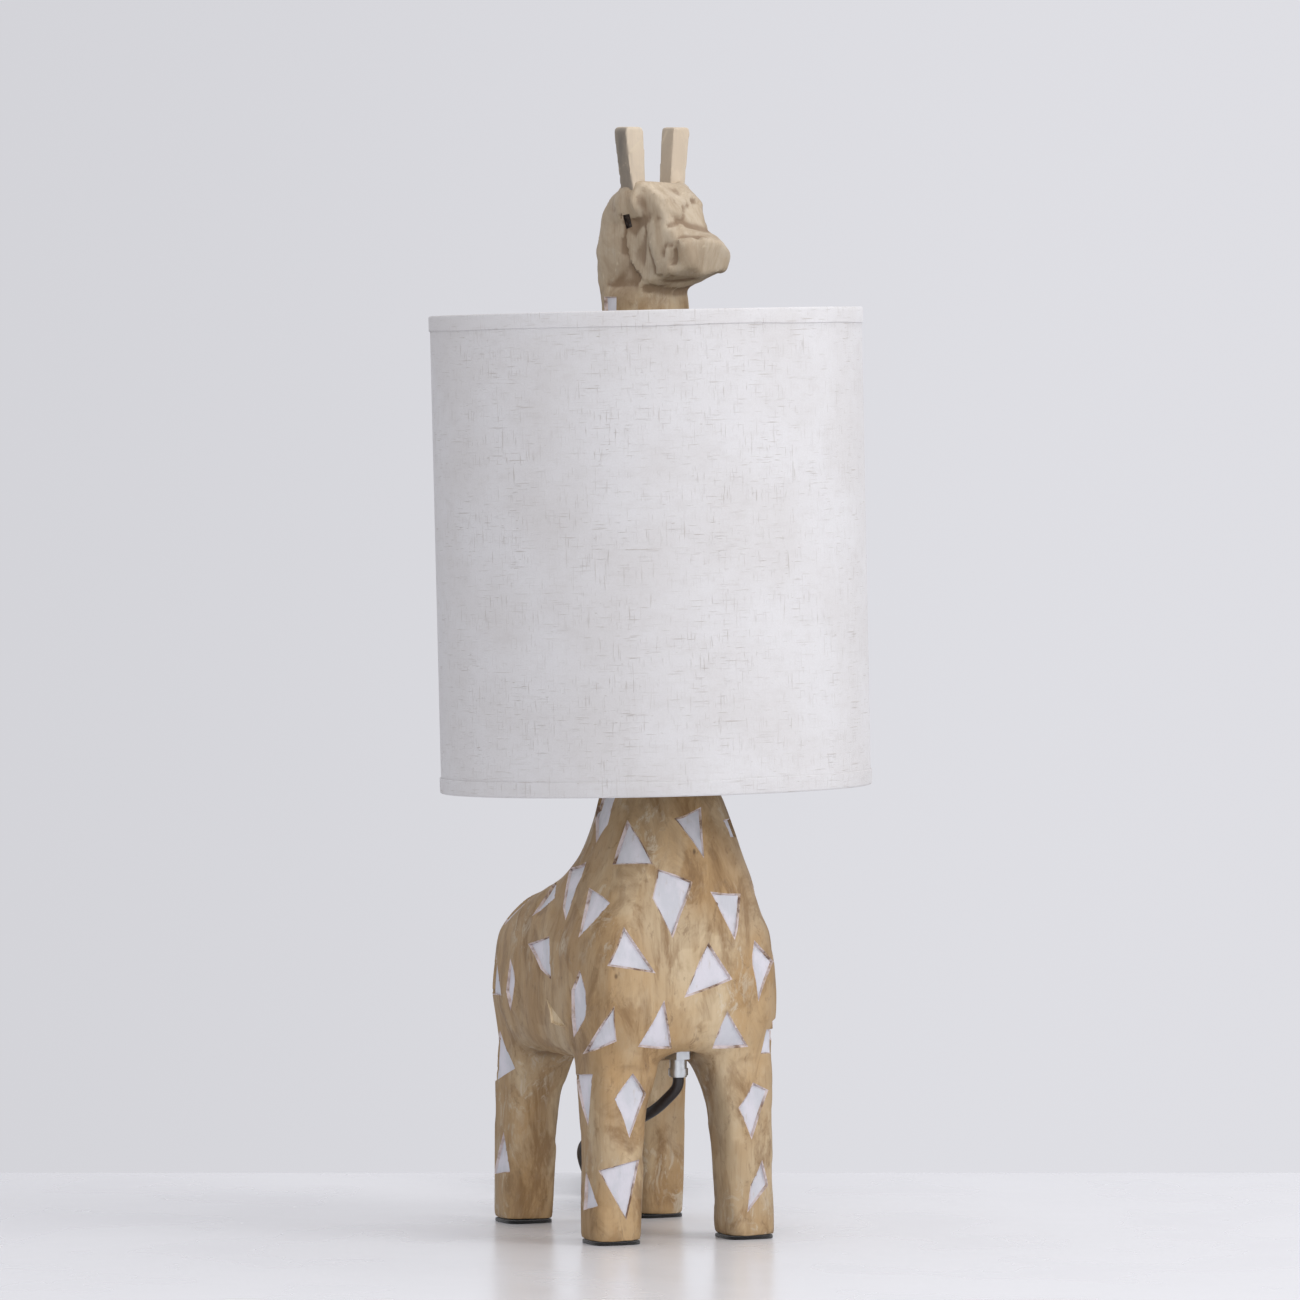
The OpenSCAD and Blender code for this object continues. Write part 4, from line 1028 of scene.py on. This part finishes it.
    def hollow(self, rounds):
        """How far each vertex lies under the smoothed skin, in millimetres."""
        normals = self.normals()
        return np.einsum("ij,ij->i", self.averaged(self.co, rounds) - self.co, normals)

    def store(self, name, values):
        layer = self.mesh.attributes.new(name, "FLOAT", "POINT")
        layer.data.foreach_set("value", values.astype(np.float32))


def remeshed(name, bm, voxel):
    """A dense, even mesh of a closed bmesh."""
    mesh = bpy.data.meshes.new(name)
    bm.to_mesh(mesh)
    bm.free()
    holder = bpy.data.objects.new(name + "_block", mesh)
    bpy.context.scene.collection.objects.link(holder)
    modifier = holder.modifiers.new("even", "REMESH")
    modifier.mode = "VOXEL"
    modifier.voxel_size = voxel * MM
    bpy.context.view_layer.update()
    dense = bpy.data.meshes.new_from_object(holder.evaluated_get(bpy.context.evaluated_depsgraph_get()))
    bpy.data.objects.remove(holder)
    bpy.data.meshes.remove(mesh)
    return dense


# Places of the finishes in the carving's material list, after the wood itself.
PAINT, CUT_WOOD, BARE_WOOD, EYE = range(1, 5)
# How far a knife runs outside a drawn outline, and how far a side bows, in millimetres.
OVERCUT = 0.6
BOW = 0.7


def cut_outlines(bm, sight, outlines, depth, edge, floor_material, edge_material, rng):
    """Cuts outlines into the skin that faces the sight: a slanted edge down to a level floor."""
    bm.normal_update()
    faces = list(bm.faces)
    centres = np.array([f.calc_center_median() for f in faces])
    normals = np.array([f.normal for f in faces])
    seen = sight.flat(centres)
    view = centres - np.array(sight.eye)
    view /= np.linalg.norm(view, axis=1)[:, None]
    facing = np.einsum("ij,ij->i", normals, view) < -0.04
    depths = (centres - np.array(sight.eye)) @ np.array(sight.away)
    for plain in outlines:
        outline = hand_cut(shrunk(plain, -OVERCUT), rng, BOW)
        corners = np.array(outline, float)
        low = corners.min(0) - 3.5
        high = corners.max(0) + 3.5
        near = facing & (seen > low).all(1) & (seen < high).all(1)
        within = near & inside_outline(seen, outline)
        if not within.any():
            continue
        first = np.percentile(depths[within], 3)
        local = [faces[i] for i in np.nonzero(near & (depths < first + 0.045))[0] if faces[i].is_valid]
        slant = float(np.mean(-np.einsum("ij,ij->i", normals[within], view[within])))
        inner = shrunk(outline, edge * max(slant, 0.35))
        for shape in (outline, inner):
            for i in range(len(shape)):
                local = cut_along(bm, sight, local, shape[i], shape[(i + 1) % len(shape)])
        spots = sight.flat(np.array([f.calc_center_median() for f in local]))
        in_outer = inside_outline(spots, outline)
        in_inner = inside_outline(spots, inner)
        floor = [f for f, w in zip(local, in_inner) if w]
        rim = [f for f, a, b in zip(local, in_outer, in_inner) if a and not b]
        for f in rim:
            f.material_index = edge_material
        if not floor:
            continue
        for f in floor:
            f.material_index = floor_material
        verts = list({v for f in floor for v in f.verts})
        normal = sum((f.normal * f.calc_area() for f in floor), Vector()).normalized()
        slope = Vector(rng.normal(size=3)).cross(normal).normalized()
        middle = sum((v.co for v in verts), Vector()) / len(verts)
        span = max((v.co - middle).length for v in verts)
        for v in verts:
            tilt = 1.0 + 0.45 * (v.co - middle).dot(slope) / span
            v.co -= v.normal.lerp(normal, 0.5).normalized() * depth * MM * tilt


def cut_along(bm, sight, local, start, end):
    """Splits the faces near one side of an outline along the plane through that side and the eye."""
    local = [f for f in local if f.is_valid]
    if not local:
        return local
    centres = sight.flat(np.array([f.calc_center_median() for f in local]))
    close = segment_distance(centres, start, end) < 3.2
    chosen = [f for f, c in zip(local, close) if c]
    rest = [f for f, c in zip(local, close) if not c]
    if not chosen:
        return local
    normal = (sight.corner(start) - sight.eye).cross(sight.corner(end) - sight.eye).normalized()
    geom = list({e for f in chosen for e in f.edges}) + list({v for f in chosen for v in f.verts}) + chosen
    found = bmesh.ops.bisect_plane(bm, geom=geom, dist=1e-6, plane_co=sight.eye, plane_no=normal)
    pieces = [g for g in found["geom"] if isinstance(g, bmesh.types.BMFace)]
    return list(dict.fromkeys(rest + chosen + pieces))


# The crown block in millimetres, from its foot up: half width, back, front and height.
CROWN_ROWS = [
    (24.0, -3.0, 15.5, 588.0), (26.5, -2.5, 15.5, 599.0),
    (23.5, -0.5, 15.0, 607.5), (19.0, 1.0, 14.0, 610.5),
]


def add_crown(bm):
    """Fills the wood up round the horns' feet, to a level ridge over the forehead."""
    verts = []
    for half, back, front, z in CROWN_ROWS:
        for side in (-half, half):
            for forward in (back, front):
                place = NECK_TOP + HEAD_FRONT * forward + HEAD_SIDE * side + Vector((0, 0, z))
                verts.append(bm.verts.new(place * MM))
    bmesh.ops.convex_hull(bm, input=verts)


class LAMP_OT_carving(bpy.types.Operator):
    """Carved giraffe with knife facets, painted spots and eyes"""
    bl_idname = "lamp.carving"
    bl_label = "Carved giraffe"

    def execute(self, context):
        sizes = context.scene.lamp_sizes
        colours = context.scene.lamp_colours
        rng = np.random.default_rng(11)
        voxel = 2.0
        block = merged("carved_body")
        add_crown(block)
        mesh = remeshed("carved_giraffe", block, voxel)
        carver = Carver(mesh, rng)
        carver.smooth(3)
        carver.shape_trunk()
        carver.shape_head()
        z = carver.co[:, 2].copy()
        head = np.clip((z - HEAD_FOOT_Z) / 8, 0, 1)
        legs = np.clip((LEG_TOP_Z - z) / 14, 0, 1)
        spacing = sizes.trunk_facet + (sizes.leg_facet - sizes.trunk_facet) * legs
        spacing = spacing + (sizes.head_facet - spacing) * head
        depth = 0.32 + 0.55 * head
        tilt = 0.042 + 0.105 * head
        cap = 1.0 + 1.8 * head
        ridge, tone = carver.facet(spacing, depth, tilt, cap)
        carver.smooth(1, where=1.0 - 0.85 * head)
        broad = carver.hollow(24)
        fine = carver.hollow(5)
        carver.write()
        carver.store("ridge", ridge * (0.35 + 0.65 * head))
        carver.store("facet_tone", tone)
        # Depth under the smoothed skin, which the wood finish turns into painted shade and gathered wash.
        carver.store("hollow", np.clip(broad * 0.55 + fine * 2.2, 0, 1))
        # Painted shade on both flanks: how far the smoothed skin faces sideways, less on the head.
        wide = carver.averaged(carver.normals(), 12)
        carver.store("flank", np.clip(np.abs(wide[:, 0]) * 1.15, 0, 1) * (1 - 0.45 * head))

        bm = bmesh.new()
        bm.from_mesh(mesh)
        cuts = [
            (PAINTED_SPOTS, sizes.spot_depth, sizes.spot_edge, PAINT, CUT_WOOD),
            (BARE_CUTS, 1.3, 0.6, BARE_WOOD, BARE_WOOD),
            (EYE_SLOTS, 1.6, 0.4, EYE, EYE),
        ]
        for drawn, deep, edge, floor, rim in cuts:
            for turn, outlines in drawn.items():
                cut_outlines(bm, Sight(turn), outlines, deep, edge, floor, rim, rng)
        materials = [
            wood_finish("carved_wood", colours, head_from=0.530), paint_finish("spot_paint", colours),
            cut_finish("spot_cut"), bare_cut_finish("bare_cut"), eye_finish("eye_slot"),
        ]
        bpy.data.meshes.remove(mesh)
        new_piece("carved_giraffe", bm, materials, stands_for=["carved_body"], sharp=38)
        return {"FINISHED"}


class LAMP_OT_horns(bpy.types.Operator):
    """The two flat horns on the crown"""
    bl_idname = "lamp.horns"
    bl_label = "Horns"

    def execute(self, context):
        colours = context.scene.lamp_colours
        rng = np.random.default_rng(5)
        finish = wood_finish("horn_wood", colours, pale_share=0.62)
        for node, name in (("horn_right", "carved_horn_right"), ("horn_left", "carved_horn_left")):
            bm = soften(merged(node), 1.3, 50, 3)
            carver = Carver(remeshed(name, bm, 0.9), rng)
            carver.smooth(2)
            ones = np.ones(carver.count)
            ridge, tone = carver.facet(ones * 7.0, ones * 0.22, ones * 0.045, ones * 0.6)
            hollow = carver.hollow(8)
            normals = carver.normals()
            # Painted shade: the faces that turn to the giraffe's right are darkened, the right horn more
            # than the left.
            outward = np.clip(normals @ np.array(HEAD_SIDE), 0, 1)
            painted_side_shade = np.clip(outward * 1.3 - 0.2, 0, 1) * (0.86 if node == "horn_right" else 0.30)
            carver.write()
            carver.store("ridge", ridge)
            carver.store("facet_tone", tone)
            carver.store("hollow", np.clip(hollow * 1.5, 0, 1))
            carver.store("painted_side_shade", painted_side_shade)
            piece_from_mesh(name, carver.mesh, [finish], stands_for=[node], sharp=40)
        return {"FINISHED"}


class LAMP_OT_felt_pads(bpy.types.Operator):
    """Felt pads under the feet"""
    bl_idname = "lamp.felt_pads"
    bl_label = "Felt pads"

    def execute(self, context):
        felt = felt_finish("black_felt")
        for node in ("pad_front_right", "pad_front_left", "pad_rear_right", "pad_rear_left"):
            bm = soften(merged(node), 0.45, 50, 2)
            new_piece("felt_" + node, bm, [felt], stands_for=[node], sharp=50)
        return {"FINISHED"}


# ---------------------------------------------------------------- tube, arm and lampholder

class LAMP_OT_tube(bpy.types.Operator):
    """Threaded tube, its nuts and washers, and the arm that carries the lampholder"""
    bl_idname = "lamp.tube"
    bl_label = "Tube and arm"

    def execute(self, context):
        zinc = metal_finish("zinc_plate", (0.62, 0.64, 0.66), 0.34)
        brass = metal_finish("turned_brass", (0.66, 0.47, 0.20), 0.28)
        for node in ("lamp_tube", "tube_collar", "belly_washer", "belly_nut", "seat_washer", "seat_nut",
                     "offset_arm"):
            finish_node(node, zinc)
        finish_node("tube_coupler", brass)
        finish_node("inner_lead", sheath_finish("inner_sheath"))
        return {"FINISHED"}


class LAMP_OT_lampholder(bpy.types.Operator):
    """Lampholder with its core, contacts, screws and shade ring"""
    bl_idname = "lamp.lampholder"
    bl_label = "Lampholder"

    def execute(self, context):
        black = moulded_finish("holder_moulding", (0.022, 0.021, 0.021), 0.30)
        brass = metal_finish("contact_brass", (0.68, 0.50, 0.24), 0.26)
        softened_piece("holder_cap_moulding", "holder_cap", 0.5, black, angle=40)
        softened_piece("holder_shell_moulding", "holder_shell", 0.3, black, angle=40)
        softened_piece("shade_ring_moulding", "shade_ring", 0.3, black,
                       "retaining_ring", 40)
        ceramic = enamel_finish("glazed_ceramic", (0.78, 0.75, 0.67), 0.18, (0.6, 0.56, 0.48))
        finish_node("holder_core", ceramic)
        for node in ("centre_contact", "side_contact", "terminal_screw_1", "terminal_screw_2"):
            finish_node(node, brass)
        return {"FINISHED"}


class LAMP_OT_bulb(bpy.types.Operator):
    """Screw-cap bulb with a white collar and an opal globe"""
    bl_idname = "lamp.bulb"
    bl_label = "Bulb"

    def execute(self, context):
        finish_node("bulb_contact", metal_finish("contact_solder", (0.52, 0.52, 0.53), 0.42))
        finish_node("bulb_insulator", moulded_finish("black_glass", (0.02, 0.02, 0.026), 0.12))
        finish_node("bulb_cap", metal_finish("cap_plating", (0.66, 0.66, 0.67), 0.28, (0.1, 0.1, 1)))
        collar = enamel_finish("collar_moulding", (0.80, 0.80, 0.78), 0.32, (0.72, 0.72, 0.70))
        finish_node("bulb_collar", collar)
        f = Finish("opal_globe")
        haze = f.noise(f.mapped((1, 1, 1)), 60.0, 2.0, 0.5)
        white = f.blend(f.ramp(haze, 0.3, 0.7), (0.86, 0.86, 0.84), (0.80, 0.80, 0.78))
        globe = f.done(white, f.ramp(haze, 0.3, 0.7, 0.22, 0.30), Subsurface_Weight=0.15,
                       Subsurface_Scale=0.01)
        finish_node("bulb_globe", globe)
        return {"FINISHED"}


# ---------------------------------------------------------------- shade

def shade_matrix():
    """Places a piece made round Z at the middle of the shade, leaning as the shade does."""
    lean = Vector((0, 0, 1)).rotation_difference(LEAN_AXIS)
    return Matrix.Translation(SHADE_MID * MM) @ lean.to_matrix().to_4x4()


def shade_radius(z):
    middle = (SHADE_TOP_R + SHADE_BOTTOM_R) / 2
    return middle + (SHADE_TOP_R - SHADE_BOTTOM_R) * z / SHADE_H


class LAMP_OT_shade(bpy.types.Operator):
    """Linen drum with its liner, hem tapes, wires and fitter"""
    bl_idname = "lamp.shade"
    bl_label = "Drum shade"

    def execute(self, context):
        sizes = context.scene.lamp_sizes
        colours = context.scene.lamp_colours
        cloth = linen_finish("slub_linen", colours, sizes.thread_pitch)
        tape = linen_finish("hem_linen", colours, sizes.thread_pitch)
        linen = self.drum(cloth, 0.8)
        top = self.hem(1, tape, sizes.hem_wave)
        bottom = self.hem(-1, tape, sizes.hem_wave)
        finish_node("shade_liner", liner_finish("liner_film"))
        white = enamel_finish("white_wire", (0.78, 0.78, 0.75), 0.35)
        for node in ("fitter_ring", "fitter_arm_1", "fitter_arm_2", "fitter_arm_3", "fitter_arm_4",
                     "shade_top_wire", "shade_bottom_wire"):
            finish_node(node, white)
        return {"FINISHED"}

    def drum(self, material, thick):
        """The linen: one strip round the drum, with its own UV map in metres that meets at the back."""
        around = 160
        rows = 28
        low = -SHADE_H / 2 + 0.7
        high = SHADE_H / 2 - 0.7
        bm = bmesh.new()
        ring = bmesh.ops.create_circle(bm, segments=around, radius=1.0)["verts"]
        bmesh.ops.rotate(bm, cent=(0, 0, 0), matrix=Matrix.Rotation(math.pi / 2, 3, "Z"), verts=ring)
        strips = list(bm.edges)
        for v in ring:
            v.co = v.co * (shade_radius(low) - thick)
            v.co.z = low
        for k in range(1, rows + 1):
            z = low + (high - low) * k / rows
            made = bmesh.ops.extrude_edge_only(bm, edges=strips)["geom"]
            strips = [g for g in made if isinstance(g, bmesh.types.BMEdge)]
            for v in [g for g in made if isinstance(g, bmesh.types.BMVert)]:
                scale = (shade_radius(z) - thick) / math.hypot(v.co.x, v.co.y)
                v.co.x *= scale
                v.co.y *= scale
                v.co.z = z
        bmesh.ops.recalc_face_normals(bm, faces=bm.faces)
        self.lay_uv(bm)
        if bm.faces[0].normal.dot(bm.faces[0].calc_center_median()) < 0:
            bmesh.ops.reverse_faces(bm, faces=bm.faces)
        bmesh.ops.solidify(bm, geom=bm.faces[:], thickness=-thick)
        bmesh.ops.recalc_face_normals(bm, faces=bm.faces)
        bmesh.ops.scale(bm, vec=(MM, MM, MM), verts=bm.verts)
        bmesh.ops.transform(bm, matrix=shade_matrix(), verts=bm.verts)
        return new_piece("linen_drum", bm, [material], "shade", ["shade_linen"], sharp=50)

    def lay_uv(self, bm):
        layer = bm.loops.layers.uv.new("UVMap")
        reach = (SHADE_TOP_R + SHADE_BOTTOM_R) / 2 * MM
        for face in bm.faces:
            centre = face.calc_center_median()
            middle = math.atan2(centre.x, -centre.y)
            for loop in face.loops:
                angle = math.atan2(loop.vert.co.x, -loop.vert.co.y)
                while angle - middle > math.pi:
                    angle -= 2 * math.pi
                while angle - middle < -math.pi:
                    angle += 2 * math.pi
                loop[layer].uv = ((angle + math.pi) * reach, (loop.vert.co.z + SHADE_H / 2) * MM)

    def hem(self, end, material, wave):
        """A hem tape, glued over the edge and wandering a little."""
        half = SHADE_H / 2
        edge = end * half
        depth = 9.0
        rng = random.Random(3 + end)
        phases = [rng.uniform(0, 6.28) for _ in range(4)]
        outline = [
            (0.25, depth), (0.75, depth - 0.25), (0.75, 1.2), (0.55, 0.35), (0.0, 0.0), (-1.6, 0.05),
            (-2.0, 0.4), (-2.05, 1.2), (-2.05, 1.9), (-1.45, 2.0), (-1.40, 0.75), (0.0, 0.72),
            (0.02, depth - 0.2),
        ]
        bm = bmesh.new()
        row = []
        for out, down in outline:
            z = edge - end * down
            row.append(bm.verts.new((shade_radius(z) + out, 0, z)))
        edges = [bm.edges.new((row[i], row[(i + 1) % len(row)])) for i in range(len(row))]
        bmesh.ops.spin(bm, geom=row + edges, axis=(0, 0, 1), cent=(0, 0, 0), angle=2 * math.pi, steps=160,
                       use_merge=True)
        bmesh.ops.recalc_face_normals(bm, faces=bm.faces)
        self.lay_uv(bm)
        for v in bm.verts:
            angle = math.atan2(v.co.x, -v.co.y)
            drift = sum(math.sin(angle * (k + 2) * 2 + p) for k, p in enumerate(phases)) / 3
            down = abs(v.co.z - edge)
            if down > 5:
                v.co.z += drift * wave * 1.6
        bmesh.ops.scale(bm, vec=(MM, MM, MM), verts=bm.verts)
        bmesh.ops.transform(bm, matrix=shade_matrix(), verts=bm.verts)
        name = "hem_tape_top" if end > 0 else "hem_tape_bottom"
        node = "hem_top" if end > 0 else "hem_bottom"
        return new_piece(name, bm, [material], "shade", [node], sharp=60)


# ---------------------------------------------------------------- panel and registration

class LAMP_PT_panel(bpy.types.Panel):
    """Buttons and sizes of the lamp"""
    bl_idname = "LAMP_PT_panel"
    bl_label = "Giraffe table lamp"
    bl_space_type = "VIEW_3D"
    bl_region_type = "UI"
    bl_category = "Lamp"

    def draw(self, context):
        layout = self.layout
        for group in (context.scene.lamp_sizes, context.scene.lamp_colours):
            box = layout.box()
            for name in group.bl_rna.properties.keys():
                if name not in ("rna_type", "name"):
                    box.prop(group, name)
        for operator in OPERATORS:
            layout.operator(operator.bl_idname)


OPERATORS = (
    LAMP_OT_stage, LAMP_OT_mains_lead, LAMP_OT_carving, LAMP_OT_horns, LAMP_OT_felt_pads,
    LAMP_OT_tube, LAMP_OT_lampholder, LAMP_OT_bulb, LAMP_OT_shade,
)
CLASSES = (LampSizes, LampColours, *OPERATORS, LAMP_PT_panel)


def register():
    for cls in CLASSES:
        bpy.utils.register_class(cls)
    bpy.types.Scene.lamp_sizes = bpy.props.PointerProperty(type=LampSizes)
    bpy.types.Scene.lamp_colours = bpy.props.PointerProperty(type=LampColours)


def unregister():
    del bpy.types.Scene.lamp_colours
    del bpy.types.Scene.lamp_sizes
    for cls in reversed(CLASSES):
        bpy.utils.unregister_class(cls)


def main():
    register()
    bpy.ops.lamp.stage()
    bpy.ops.lamp.mains_lead()
    bpy.ops.lamp.carving()
    bpy.ops.lamp.horns()
    bpy.ops.lamp.felt_pads()
    bpy.ops.lamp.tube()
    bpy.ops.lamp.lampholder()
    bpy.ops.lamp.bulb()
    bpy.ops.lamp.shade()


if __name__ == "__main__":
    main()
